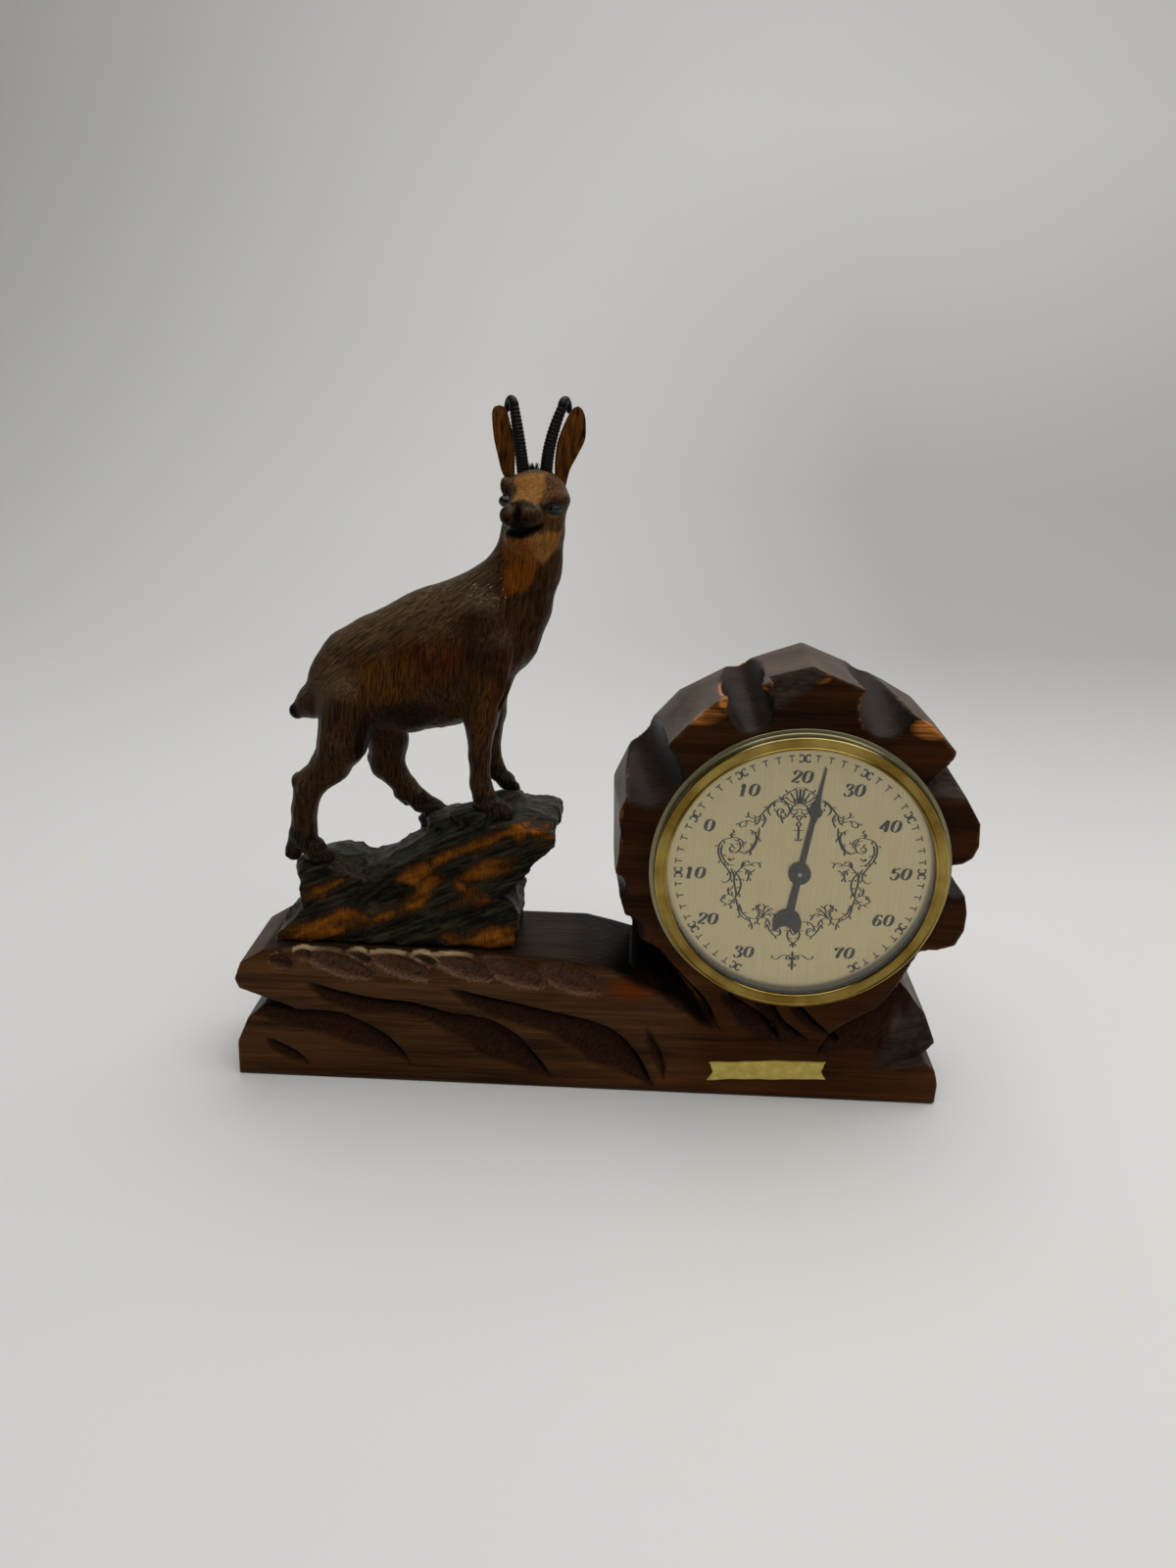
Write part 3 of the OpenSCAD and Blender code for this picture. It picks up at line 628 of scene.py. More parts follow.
thin = add(tree, "MapRange", {0: fibres, 1: 0.34, 2: 0.62, 3: 0.15, 4: 1})
rubbed = add(tree, "MapRange", {0: "worn", 1: 0.25, 2: 0.75})
rubbed = add(tree, "Math", {0: thin, 1: rubbed}, operation="MULTIPLY")
base = layered(
    tree, "#231206", (lit, "#4f2c13"),
    (add(tree, "MapRange", {0: patches, 1: 0.5, 2: 0.75, 3: 0, 4: 0.5}), "#573416"),
    ("dusky", "#0e0602"),
    ("wiped", lit, "#2c1b0f", "#5f4026"),
    ("dull", lit, "#110a05", "#2b1d11"),
    ("sunk", hatched, "#190d06", "#362013"),
    ("scooped", hatched, "#26130a", "#5c361b"),
    ("lipped", hatched, "#3a2212", "#85603a"),
    ("glowing", lit, "#4a1e04", "#7e3a0a"),
    ("dusty", lit, "#332b21", "#574c3c"),
    ("gouged", lit, "#150e09", "#2c2118"),
    (rubbed, "#bd7634"),
    ("rimmed", "#b79a72"),
    (add(tree, "MapRange", {0: "pooled", 1: 0.1, 2: 0.7, 3: 0, 4: 0.94}), "#040201"),
    ("chipped", lit, "#1f1711", "#3f3328"),
)
torn = add(tree, "Math", {0: "scooped", 1: "sunk"}, operation="MAXIMUM")
torn = add(tree, "Math", {0: torn, 1: "chipped"}, operation="MAXIMUM")
relief = add(tree, "Math", {0: chatter, 1: torn}, operation="MULTIPLY")
relief = add(tree, "Math", {0: relief, 1: 2.4, 2: fibres}, operation="MULTIPLY_ADD")
bump = add(tree, "Bump", {"Height": relief, "Strength": 0.5, "Distance": 0.25 * MM})
gloss = add(tree, "MapRange", {0: patches, 1: 0.3, 2: 0.7, 3: 0.32, 4: 0.5})
gloss = add(tree, "Mix", {0: "scooped", 2: gloss, 3: 0.22})
shine = add(tree, "Mix", {0: "pooled", 2: sheen(tree, 0.03, 0.18), 3: 0.01})
shine = add(tree, "Mix", {0: "dull", 2: shine, 3: 0.06})
shine = add(tree, "Mix", {0: "scooped", 2: shine, 3: 0.2})
surface(tree, base, gloss, Normal=bump, Specular_IOR_Level=shine)

points, quads = carved_surface(stand_field, stand_low, stand_high, STAND_STEP)
stand = mesh_piece("stand", points, quads, stand_wood)
worn_edge, in_hollow, normal = wear_and_hollow(stand_field, points, 1.0)
x, y, z = points.T
depth = cut_sheet(x, z)
front = ramp(-normal[:, 1], 0.2, 0.6)
below = [(1 - ramp(side, 0.7, 2.4)) * (side > -0.35) for side in stop_sides(x, z)]
stop_band = np.max(below, axis=0) * ramp(depth, 0.4, 1.6)
patchy = value_noise(x / 9, y / 9, z / 7, 81) + 0.4 * value_noise(x / 2.5, y / 2, z / 2, 82)
patchy = ramp(patchy, -0.35, 0.55)
rubbed = np.max([spot(points, middle, sizes) for middle, sizes in RUBS], axis=0)
split = np.max([1 - ramp(np.abs(chip_distance(x, y, z, *chip)), 0.2, 0.7) for chip in CHIPS], axis=0)
gouged = np.max([1 - ramp(np.abs(rim_gouge(x, y, z, *gouge)), 0.2, 0.7) for gouge in RIM_GOUGES], axis=0)
shaded = ramp(-outline_distance(x, z, SHADED), -2, 2) * (normal[:, 1] < 0.6)
scoop_share = scooped_sheet(x, z)
# The scoops' lower lips, where they turn up, are painted lighter as painted light
scoop_lip = ramp(scoop_share, 0.02, 0.2) * (1 - ramp(scoop_share, 0.7, 1.5)) * ramp(normal[:, 2], 0.2, 0.7)
bare_edge = worn_edge * (0.25 + 0.75 * patchy) * (1 - 0.75 * (x < 4) * ramp(z, 33, 35) * (z < 38))
crease = along(x, z, rounded_line(GOUGES[-1][0], 40))[1]
creased = ramp(crease, -0.5, 0.1) * (1 - ramp(crease, 0.7, 1.6)) * ramp(depth, 0.1, 0.6)
housing = ramp(z, 44, 54)
# A painted sheen streak on the lower right lobe
lobe = spot(points, (79.6, -12, 21), (2.2, 7, 8))
beside = ramp(x, -82, -78) * ramp(-22 - x, 0, 8) * ramp(z, 34.2, 35.4) * (z < 38) * (y < -9)
low_dark = 0.45 + 0.55 * ramp(z, 3, 22)
open_front = front * ramp(36.5 - z, 0, 4) * ramp(34 - x, 0, 12) * (1 - ramp(depth, 0.1, 0.8))
keep(
    stand,
    worn=np.maximum(bare_edge, 0.95 * rubbed * (0.5 + 0.5 * patchy)),
    # Grey where it split: the split face's own tone with a painted sheen
    chipped=split,
    # Near black as pooled stain and painted shade: in hollows, below the stop lines, along the crease and at
    # the housing's foot
    pooled=np.maximum.reduce([in_hollow, stop_band * front, 0.8 * creased * front, shaded * (1 - split)]),
    gouged=gouged,
    dusky=0.4 * housing * front,
    # Greyer on the housing's rim and upper sides as dust and painted sheen, with the lobe's painted sheen
    # streak
    dusty=np.maximum(0.5 * housing * (1 - front), 0.8 * lobe),
    rimmed=0.8 * ramp(worn_edge, 0.26, 0.6) * beside * (0.2 + 0.8 * patchy),
    sunk=0.9 * ramp(depth, 0.25, 0.6) * front * (z < 38),
    scooped=ramp(scoop_share, 0.05, 0.3) * ramp(-normal[:, 1], 0.1, 0.4),
    # Painted light on the scoops' upturned lips
    lipped=0.7 * scoop_lip * front,
    glowing=spot(points, (12, -12, 30), (10, 5, 4.4)),
    # Up-facing faces painted darker as shade, and given a duller varnish
    dull=0.85 * ramp(normal[:, 2], 0.5, 0.9) * ramp(x, -88, -80) * (z < 60),
    wiped=0.9 * low_dark * open_front,
)
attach(stand, "root")
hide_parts("carved_stand")

# Chamois
# Carved in the round from one block of linden together with its rock. The coat is cut with fine gouge
# strokes, the stain wiped thinner on the flanks, and the face, hooves and tail tip are painted. The eyes
# are carved beads.
FIGURE_STEP = 0.37
LEG_OUT = 5.5
BODY_FLATNESS = 0.6
# Limbs as balls: X, Y, Z and radius
SPINE = [
    (-59.4, 0, 103.6, 10.4), (-56, 0, 106.4, 11.6), (-49, 0, 107.3, 14.7), (-37.5, 0, 111, 16.4),
    (-31, 0, 114, 13.4),
]
CHEST = [(-30, 0, 115.5, 11.4), (-21.2, 0, 116.6, 8.2), (-18.6, 0, 124.6, 8.8)]
WITHERS = [(-36, 0, 120.2, 8), (-23, 0, 126.4, 8), (-16, 0, 134.4, 6.8)]
NECK = [(-15.4, 0, 133, 7.5), (-14.6, -0.5, 141, 7.1), (-13.6, 0, 148, 7)]
SHOULDER = [
    (-26, -4.0, 122, 5.8), (-24.3, -4.3, 114.5, 6.7), (-25.2, -4.8, 106.5, 5.8),
    (-26.5, -LEG_OUT, 98, 4.2),
]
FORELEG = [
    (-26.5, -LEG_OUT, 98, 4.1), (-26.9, -LEG_OUT, 88, 2.6), (-26.8, -LEG_OUT, 81, 2.5),
    (-25.6, -LEG_OUT, 76.4, 3.1),
]
FAR_FORELEG = [
    (-24.6, 3.5, 105, 4.2), (-25.2, LEG_OUT, 96, 3.3), (-25.8, LEG_OUT, 86, 2.4),
    (-23.8, LEG_OUT, 80, 2.3),
]
THIGH = [
    (-58.6, -3.0, 100.2, 8.0), (-60.6, -LEG_OUT, 90.4, 5.9), (-63.8, -LEG_OUT, 84.4, 4.6),
    (-69, -LEG_OUT, 79.4, 3.6),
]
SHANK = [(-69.4, -LEG_OUT, 79.2, 3.8), (-71.2, -LEG_OUT, 72.4, 3.0), (-71.6, -LEG_OUT, 66.4, 3.4)]
FAR_THIGH = [(-54, 3.5, 99, 7), (-51.8, LEG_OUT, 88, 5), (-52.3, LEG_OUT, 81.8, 4.3)]
FAR_SHANK = [(-52.3, LEG_OUT, 81.4, 4.1), (-47.6, LEG_OUT, 75, 2.8), (-43.4, LEG_OUT, 71, 2.8)]
TAIL = [(-62.6, 0, 102.4, 6.8), (-68.2, 0, 99.2, 4.4), (-72.9, 0, 96.4, 2.1)]
HOCKS = [
    (-72, -LEG_OUT, 80, 1.7), (-69.5, -LEG_OUT, 80.4, 2.2), (-55.6, LEG_OUT, 83, 1.6),
    (-53.5, LEG_OUT, 82.4, 2.2),
]
SPURS = [
    (-72.4, -LEG_OUT, 65, 3.1), (-74.8, -LEG_OUT, 60.8, 2.1), (-49, LEG_OUT, 73.4, 1.9),
    (-47.9, LEG_OUT, 71, 0.9),
]
BELLY = [(-44.5, 0, 99.2, 6.6), (-36, 0, 101, 6.2)]
# Rounded lumps: middle in X, Y and Z, then half sizes
SKULL = (-13.8, -1.2, 149.8, 7.2, 6.4, 6.0)
FACE = [
    (-14.4, -5, 147.8, 5.4, 5.2, 4.5), (-16.4, -8.0, 146.4, 4.2, 4.4, 3.7),
    (-12.8, -2.6, 142.2, 5.4, 4.6, 4.8), (-16.0, -6.2, 141.2, 4.5, 3.8, 3.1),
    (-9.8, -3.8, 145.4, 2.8, 2.6, 2.9),
]
NOSE = [(-19.2, -11.0, 146.4, 1.8, 1.9, 2.1), (-14.5, -10.6, 146.6, 3.0, 2.4, 2.5)]
BROWS = [
    (-20.6, -3.5, 152.3, 1.1, 1.4, 1.8), (-7.2, -2.6, 149.0, 1.3, 1.8, 1.4),
    (-9.4, -4.8, 149.9, 2.8, 1.6, 1.0),
]
SOCKETS = [(-21.0, -5.9, 149.0, 2.1), (-8.9, -7.3, 147.5, 1.9)]
EYES = [(-20.2, -4.3, 148.8, 1.8, 1.75, 1.45), (-9.3, -5.0, 147.4, 1.85, 1.5, 1.15)]
# Hooves as short limbs, then how much wider than deep they are
HOOVES = [
    [(-26.2, -5.8, 76.2, 2.5), (-23.0, -6.0, 74.4, 2.4), (-20.2, -6.0, 73.2, 1.6)],
    [(-71.2, -5.8, 64.2, 2.7), (-68.6, -6.4, 61.6, 2.5), (-65.8, -6.6, 60.2, 1.7)],
    [(-24.2, 5.0, 80.2, 1.8), (-21.8, 5.0, 78.2, 2.0), (-19.4, 5.0, 76.6, 1.4)],
    [(-43.8, 5.4, 71.4, 2.4), (-41.0, 5.4, 69.6, 2.4), (-37.6, 5.4, 68.6, 1.8)],
]
HOOF_FLATNESS = 1.2
# Lines cut into the figure: points in X, Y and Z, and the cut's radius
CREASES = [
    ([(-32, -10.9, 124), (-31.4, -11.3, 111), (-30.8, -9.6, 99)], 0.9),
    ([(-53, -10.4, 106), (-53.6, -9.4, 97), (-57.4, -8.6, 88.5)], 1.1),
    ([(-17.6, -7.6, 122), (-17.0, -7.4, 114), (-19.0, -6.9, 107), (-22.2, -6.8, 101)], 0.9),
    ([(-21.4, -8.8, 142.2), (-16.6, -11.4, 143.0), (-11.3, -8.6, 143.9)], 0.7),
    ([(-16.9, -12.2, 149.0), (-16.8, -12.9, 143.8)], 0.75),
]


def ball_distance(x, y, z, cx, cy, cz, r):
    """Signed distance to a ball."""
    return np.sqrt((x - cx) ** 2 + (y - cy) ** 2 + (z - cz) ** 2) - r


def lump_distance(x, y, z, cx, cy, cz, rx, ry, rz):
    """Nearly the signed distance to an ellipsoid: its stretched radius less one,
    over that radius's slope."""
    u, v, w = (x - cx) / rx, (y - cy) / ry, (z - cz) / rz
    far = np.sqrt(u * u + v * v + w * w)
    slope = np.sqrt((u / rx) ** 2 + (v / ry) ** 2 + (w / rz) ** 2) + 1e-6
    return far * (far - 1) / slope


def gouge_bowls(u, v, w, seed):
    """Bowls left by a gouge, from 0 at their ridges to 1 at their middles: one less the squared distance to
    the nearest of the points scattered one to a cell."""
    iu, iv, iw = (np.floor(a).astype(np.int64) for a in (u, v, w))
    nearest = None
    for a in (0, 1):
        for b in (0, 1):
            for c in (0, 1):
                i, j, k = iu + a, iv + b, iw + c
                far = (
                    (i + 0.3 * hashed(i, j, k, seed) - u) ** 2
                    + (j + 0.3 * hashed(i, j, k, seed + 1) - v) ** 2
                    + (k + 0.3 * hashed(i, j, k, seed + 2) - w) ** 2
                )
                nearest = far if nearest is None else np.minimum(nearest, far)
    return 1 - nearest


def leaning(x, z, lean):
    """X and Z turned so that the first runs along a direction lean degrees up from level."""
    c, s = np.cos(np.radians(lean)), np.sin(np.radians(lean))
    return x * c + z * s, z * c - x * s


def on_back(x, z):
    """1 along the animal's back, 0 on its flanks, legs and neck."""
    ridge = np.interp(x, (-72, -60, -50, -38, -28, -20), (104, 116, 122, 127, 131, 138))
    return ramp(z - ridge, -15, -4) * ramp(-18 - x, 0, 5)


def coat(x, y, z):
    """Height of the coat's tufts from -1 to 1: long narrow random strokes that lean back and
    turn upright lower down."""
    back = on_back(x, z)
    run, rise = leaning(x, z, 38)
    high = 0.6 * value_noise(run / 7, y / 1.5, rise / 1.3, 11)
    high = high + 0.4 * value_noise(run / 3.5, y / 0.8, rise / 0.75, 12)
    run, rise = leaning(x, z, 84)
    low = 0.6 * value_noise(run / 8, y / 1.6, rise / 1.4, 13)
    low = low + 0.4 * value_noise(run / 4, y / 0.8, rise / 0.75, 14)
    return high * back + low * (1 - back)


def animal_field(x, y, z):
    """Below zero inside the smooth animal: limbs and lumps run into each other, then creases
    and eyes cut in."""
    body = limb_distance(x, y, z, SPINE, BODY_FLATNESS)
    for chain, flatness in ((CHEST, 0.72), (WITHERS, 0.72), (BELLY, 0.8), (NECK, 0.9)):
        body = soft_min(body, limb_distance(x, y, z, chain, flatness), 3.5)
    body = soft_min(body, limb_distance(x, y, z, SHOULDER), 3.0)
    body = soft_min(body, limb_distance(x, y, z, THIGH), 4.0)
    slim = [FORELEG, FAR_FORELEG, SHANK, FAR_THIGH, FAR_SHANK, TAIL]
    for chain in [*slim, HOCKS[:2], HOCKS[2:], SPURS[:2], SPURS[2:]]:
        body = soft_min(body, limb_distance(x, y, z, chain), 1.3)
    head = lump_distance(x, y, z, *SKULL)
    for lumps, reach in ((FACE, 1.3), (NOSE, 1.0), (BROWS, 1.9)):
        for lump in lumps:
            head = soft_min(head, lump_distance(x, y, z, *lump), reach)
    body = soft_min(body, head, 1.6)
    for hoof in HOOVES:
        body = soft_min(body, limb_distance(x, y, z, hoof, HOOF_FLATNESS), 0.5)
    for line, r in CREASES:
        body = soft_max(body, -limb_distance(x, y, z, [(*p, r) for p in line]), 1.0)
    for socket in SOCKETS:
        body = soft_max(body, -ball_distance(x, y, z, *socket), 0.5)
    for eye in EYES:
        body = np.minimum(body, lump_distance(x, y, z, *eye))
    return body


def chamois_field(x, y, z):
    """The animal with its coat: tufts stand up to 0.22 mm out, less on the face, and the
    hooves are hacked roughly."""
    hairy = 1 - 0.8 * ramp(z - 138 + 0.6 * (y + 6), 0, 4)
    foot = ramp(86.5 + 0.3 * x - z, 0, 3)
    hacked = 0.45 * foot * value_noise(x / 1.5, y / 1.5, z / 1.2, 15)
    return animal_field(x, y, z) - (0.22 - 0.1 * on_back(x, z)) * hairy * coat(x, y, z) - hacked


def inside(x, z, corners, soft=0.6):
    """1 inside an outline in X and Z and 0 outside it, with a soft edge."""
    return ramp(-outline_distance(x, z, corners), -soft, soft)


# Stained linden of the coat: dark brown in the gouged strokes and wiped lighter between them, reddish flanks,
# ochre on forehead, cheeks and throat, black on nose, eyes, hooves and tail, all under a thin satin varnish;
# greyer where it faces up as painted sheen, with pale flecks of painted glints on chest and back, and darker
# on the belly as painted shade and in hollows as pooled stain and painted shade
coat_wood, tree, place = new_material("stained_carved_linden_coat")
low_hair, high_hair = hair(tree, place, 84, 6.0, 0.42), hair(tree, place, 38, 5.0, 0.42)
strands = add(tree, "Mix", {0: "back", 2: low_hair, 3: high_hair})
lit = add(tree, "MapRange", {0: strands, 1: 0.38, 2: 0.66})
soft_lit = add(tree, "MapRange", {0: strands, 1: 0.3, 2: 0.7})
# Pale flecks painted as glints
flecks = add(tree, "MapRange", {0: hair(tree, place, 40, 1.4, 0.35), 1: 0.62, 2: 0.7})
base = layered(
    tree, "#1b1008", (lit, "#442b16"),
    ("flank_red", lit, "#220c03", "#502208"),
    ("flank_gold", lit, "#2c1704", "#6e4210"),
    ("grey", lit, "#33281c", "#625039"),
    ("throat", soft_lit, "#3e1a02", "#86480a"),
    ("ruddy", lit, "#36200f", "#684426"),
    ("ochre", soft_lit, "#66401a", "#9a6a34"),
    (add(tree, "MapRange", {0: hair(tree, place, 62, 5.0, 0.2), 1: 0.6, 2: 0.72, 3: 0, 4: 0.4}), "#8a5f2c"),
    (add(tree, "Math", {0: flecks, 1: "flecked"}, operation="MULTIPLY"), "#b8a690"),
    ("sooty", lit, "#080503", "#1f150c"),
    ("pooled", "#0a0502"),
    ("pale", "#a3937e"),
    ("black", "#070504"),
    ("hooves", add(tree, "MapRange", {0: strands, 1: 0.42, 2: 0.62}), "#0a0806", "#2f2418"),
)
bump = add(tree, "Bump", {"Height": strands, "Strength": 1.0, "Distance": 0.3 * MM})
shine = add(tree, "Mix", {0: "glossy", 2: sheen(tree, 0.03, 0.16), 3: 0.5})
rough = add(tree, "MapRange", {0: "glossy", 1: 0, 2: 1, 3: 0.4, 4: 0.16})
surface(tree, base, rough, Normal=bump, Specular_IOR_Level=shine)

# Painted places of the head, each an outline in X and Z
THROAT = [(-21, 136.8), (-12.6, 134.9), (-13.6, 132.6), (-15.9, 129.2), (-18, 128.4), (-21, 127.6)]
JAW = [(-21.4, 141.4), (-14.8, 141.4), (-13, 136.6), (-13, 134.9), (-21, 136)]
CHIN = [(-15.4, 141.4), (-11, 142.6), (-7.8, 141.8), (-8.6, 138.4), (-11.6, 135.2), (-13.4, 136.4)]
FOREHEAD = [(-18.2, 155), (-11.2, 155.2), (-11.4, 152), (-12.2, 149.4), (-14, 148.6), (-17.8, 150)]
TEMPLE = [(-11.4, 155), (-7, 153.5), (-7.5, 149.8), (-11.6, 150)]
LIPS = [
    (-22, 141.6), (-21.2, 142.6), (-19, 143.4), (-18.0, 145.2), (-15.6, 145.2), (-14.4, 144.2),
    (-11.2, 144.4), (-11.6, 143.3), (-14, 142.3), (-16.2, 141.2), (-18.5, 141.6),
]
CLEFT = [(-17.4, 149.2), (-16.3, 149.2), (-15.8, 142), (-17.8, 142)]
SNOUT_LINE = [
    (-18.8, 149.3), (-16.4, 150), (-13.6, 149.4), (-12.6, 148.1), (-14, 148.4), (-16.4, 148.8),
    (-18.4, 148.6),
]
LIDS = [
    [(-11.9, 148.5), (-9.6, 149.1), (-7.6, 148.5), (-7.1, 147), (-8.4, 146), (-10.2, 146.8)],
    [(-22, 149.8), (-20.4, 150.6), (-18.8, 149.4), (-19.2, 147.8), (-20.8, 146.8), (-22, 147.6)],
]
MOUTH_CORNER = [(-21, 145), (-20.9, 143.3), (-18.9, 143.7)]

points, quads = carved_surface(chamois_field, (-79, -16, 54), (-5, 10, 158), FIGURE_STEP)
chamois = mesh_piece("chamois", points, quads, coat_wood)
x, y, z = points.T
worn_edge, in_hollow, normal = wear_and_hollow(chamois_field, points, 0.6)
back = on_back(x, z)
facing = ramp(-normal[:, 1], 0.0, 0.35)
wander = 0.55 * value_noise(x / 1.6, y / 1.6, z / 1.6, 61) + 0.25 * value_noise(x / 0.6, y / 0.6, z / 0.6, 62)
blotches = value_noise(x / 1.8, y / 1.8, z / 3, 63) + 0.5 * value_noise(x / 0.6, y / 0.6, z / 1.6, 64)
throat = (1 - 0.75 * ramp(blotches, 0.1, 0.7)) * inside(x + wander, z - wander, THROAT, 0.6)
jaw = inside(x + wander, z + wander, JAW, 0.8)
chin = inside(x + wander, z + wander, CHIN, 0.7)
forehead = inside(x + wander, z + wander, FOREHEAD, 0.6)
temple = inside(x, z, TEMPLE, 1.2)
feet = [limb_distance(x, y, z, hoof, HOOF_FLATNESS) for hoof in [*HOOVES, SPURS[:2], SPURS[2:]]]
eyes = np.max([1 - ramp(lump_distance(x, y, z, *eye), 0.1, 0.6) for eye in EYES], axis=0)
lips = inside(x + 0.5 * wander, z + 0.3 * wander, LIPS, 0.3)
cleft = inside(x + 0.4 * wander, z, CLEFT, 0.3)
snout_line = inside(x, z + 0.5 * wander, SNOUT_LINE, 0.35)
lines = np.maximum.reduce([lips, cleft, 0.9 * snout_line]) * facing * (y < -6)
lids = np.max([inside(x, z, lid, 0.4) for lid in LIDS], axis=0) * facing * (y < -1)
cloudy = 0.85 + 0.4 * value_noise(x / 4, y / 4, z / 5, 66)
# Stained and painted patches, among them painted shade on the belly and painted glints on the chest: how
# strong, middle and half sizes
PATCHES = {
    "flank_red": [(0.9, (-38, -10, 113), (13, 9, 9)), (0.7, (-20, -8, 108), (7, 6, 12))],
    "flank_gold": [(0.9, (-49, -10, 107), (12, 9, 9)), (0.5, (-25, -9, 100), (5, 6, 14))],
    "belly": [(0.8, (-44, -6, 98), (11, 12, 6)), (0.8, (-54, -8, 92), (5, 10, 9)),
              (0.45, (-26, -9, 117), (7, 8, 12))],
    "nostrils": [(1, (-19.2, -13.4, 145.6), (1.4, 1.8, 1.0)), (1, (-15.2, -13.4, 145.8), (1.4, 1.8, 1.0))],
    "tail_tip": [(1, (-73.6, 0, 97.2), (4.4, 4, 4.2))],
    "rump": [(0.6, (-63, -6, 108), (8, 12, 12))],
    "cheek": [(0.25, (-10, -6, 145), (4.5, 5, 5))],
    "crown": [(1, (-9, -3, 150.6), (4, 6, 4))],
    "chest_flecks": [(1, (-24, -5, 129), (9, 8, 6))],
}
patch = {}
for name, places in PATCHES.items():
    patch[name] = np.max([share * spot(points, *at) for share, *at in places], axis=0)
keep(
    chamois,
    back=back,
    # Painted glints on the chest and along the back
    flecked=np.maximum(patch["chest_flecks"], 0.12 * back),
    # Darker in hollows as pooled stain and painted shade
    pooled=0.9 * ramp(in_hollow, 0.35, 0.9),
    flank_red=cloudy * patch["flank_red"],
    flank_gold=cloudy * patch["flank_gold"],
    glossy=eyes,
    # Darker on the belly and under the chest as painted shade
    sooty=patch["belly"],
    # Greyer where the coat faces up, and on the rump, as painted sheen
    grey=np.maximum(0.8 * ramp(normal[:, 2], 0.0, 0.7), patch["rump"]),
    throat=np.maximum(throat, 0.85 * jaw) * facing,
    ochre=np.maximum.reduce([chin * facing, forehead * facing, 0.25 * jaw, patch["cheek"]]),
    ruddy=np.maximum(temple, patch["crown"]) * (1 - forehead),
    pale=0.8 * inside(x, z, MOUTH_CORNER, 0.35) * (y < -3),
    hooves=0.9 * (1 - ramp(np.min(feet, axis=0), 0.4, 1.3)),
    black=np.maximum.reduce([eyes, lines, patch["nostrils"], 0.8 * lids, patch["tail_tip"]]),
)
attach(chamois, "root")
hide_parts("chamois_carving")

# Rock
# The lower half of the same block: a slab that climbs to the right over a wedge-shaped foot, split
# along slanting layers with a flat chisel, stained green-black, its front rubbed back to bare orange
# wood in long streaks.
ROCK_STEP = 0.4
LAYER_SLANT = 23
ROCK_FRONT = -11
ROCK_SLAB = [
    (-79.6, 39.1), (-78.6, 42), (-72.2, 48.6), (-73.2, 52.4), (-72.4, 55.8), (-69.6, 58.4), (-64.4, 60),
    (-59.4, 59.6), (-55.6, 57.6), (-48.6, 61.4), (-42.4, 65.4), (-38.4, 68), (-34.4, 70.6), (-30, 72.6),
    (-24, 73.8), (-18, 73.8), (-9.5, 72.8), (-7.4, 71.2), (-8, 68), (-13.6, 62.3), (-19.6, 54.2),
    (-40, 47.4), (-62, 40),
]
ROCK_FOOT = [
    (-79.5, 37.5), (-79.8, 39.4), (-73, 44.6), (-24, 52.6), (-18.6, 50.8), (-16.9, 48.4), (-17.1, 45),
    (-17.9, 37.5),
]
ROCK_LEDGE = [
    (-76, 42), (-74.4, 50), (-70, 54.5), (-58, 55.5), (-44, 62), (-30, 68), (-18, 71.3), (-11, 69.8),
    (-20, 56), (-21, 42),
]
BACK_LEDGE = [(-22, 67), (-19, 73.6), (-8, 72.6), (-6.8, 69.6), (-8.4, 66), (-14, 63)]
BOULDERS = [
    (-28.2, -4.8, 72.4, 6.6, 5.4, 3.2), (-36, 2, 68.4, 6, 7, 3.0), (-66.5, -2, 56, 9, 9.5, 4.5),
    (-66, -6.5, 54.4, 7, 4.2, 4.2), (-21.4, 4.2, 73.4, 5.6, 4.6, 3.0), (-40, 6, 66.6, 5, 3.6, 2.4),
]
ROCK_HOLLOWS = [
    (-50, 51, 8.5, 3.2, 3.0), (-35, 57, 9, 2.8, 2.6), (-22, 60, 6, 2, 1.6), (-30, 47.2, 9, 2.0, 2.2),
    (-48, 43.2, 9, 1.6, 1.6),
]
BARE_BAND = [
    (-8.5, 72.5), (-15, 73), (-23.5, 69.5), (-28.5, 66.5), (-35, 64), (-40, 61), (-44, 59.5), (-47.5, 56),
    (-42.5, 54.5), (-43.5, 51.5), (-48, 48), (-54, 45.5), (-57.5, 47.5), (-64, 46.5), (-71, 43),
    (-78, 40), (-76.5, 38), (-64.5, 40), (-52, 44.5), (-44.5, 47.5), (-41, 49), (-39, 53.5),
    (-36.5, 56.5), (-40, 57.5), (-39, 59.5), (-34, 62.5), (-25.5, 65), (-21, 68.5), (-15, 68.5),
    (-9, 68.5),
]
BARE_PATCHES = [
    [(-33, 56), (-29, 55), (-25.5, 54), (-24.5, 51), (-26.5, 49.5), (-31, 50.5), (-35, 48.5), (-31, 52.5)],
    [(-25.5, 62), (-17, 63), (-19.5, 60), (-23.5, 58), (-31, 57), (-28.5, 60)],
    [(-28.5, 42), (-19.5, 45), (-17.5, 41.5), (-17.5, 39), (-25, 38.5), (-34.5, 39), (-37, 40.5)],
    [(-72, 51.5), (-66, 53.5), (-61.5, 55.5), (-66.5, 51), (-71.5, 50)],
]


def slab_distance(x, y, z, outline, front, back):
    """Nearly the signed distance to an outline in X and Z carried from front to back."""
    return soft_max(soft_max(outline_distance(x, z, outline), front - y, 0.8), y - back, 0.8)


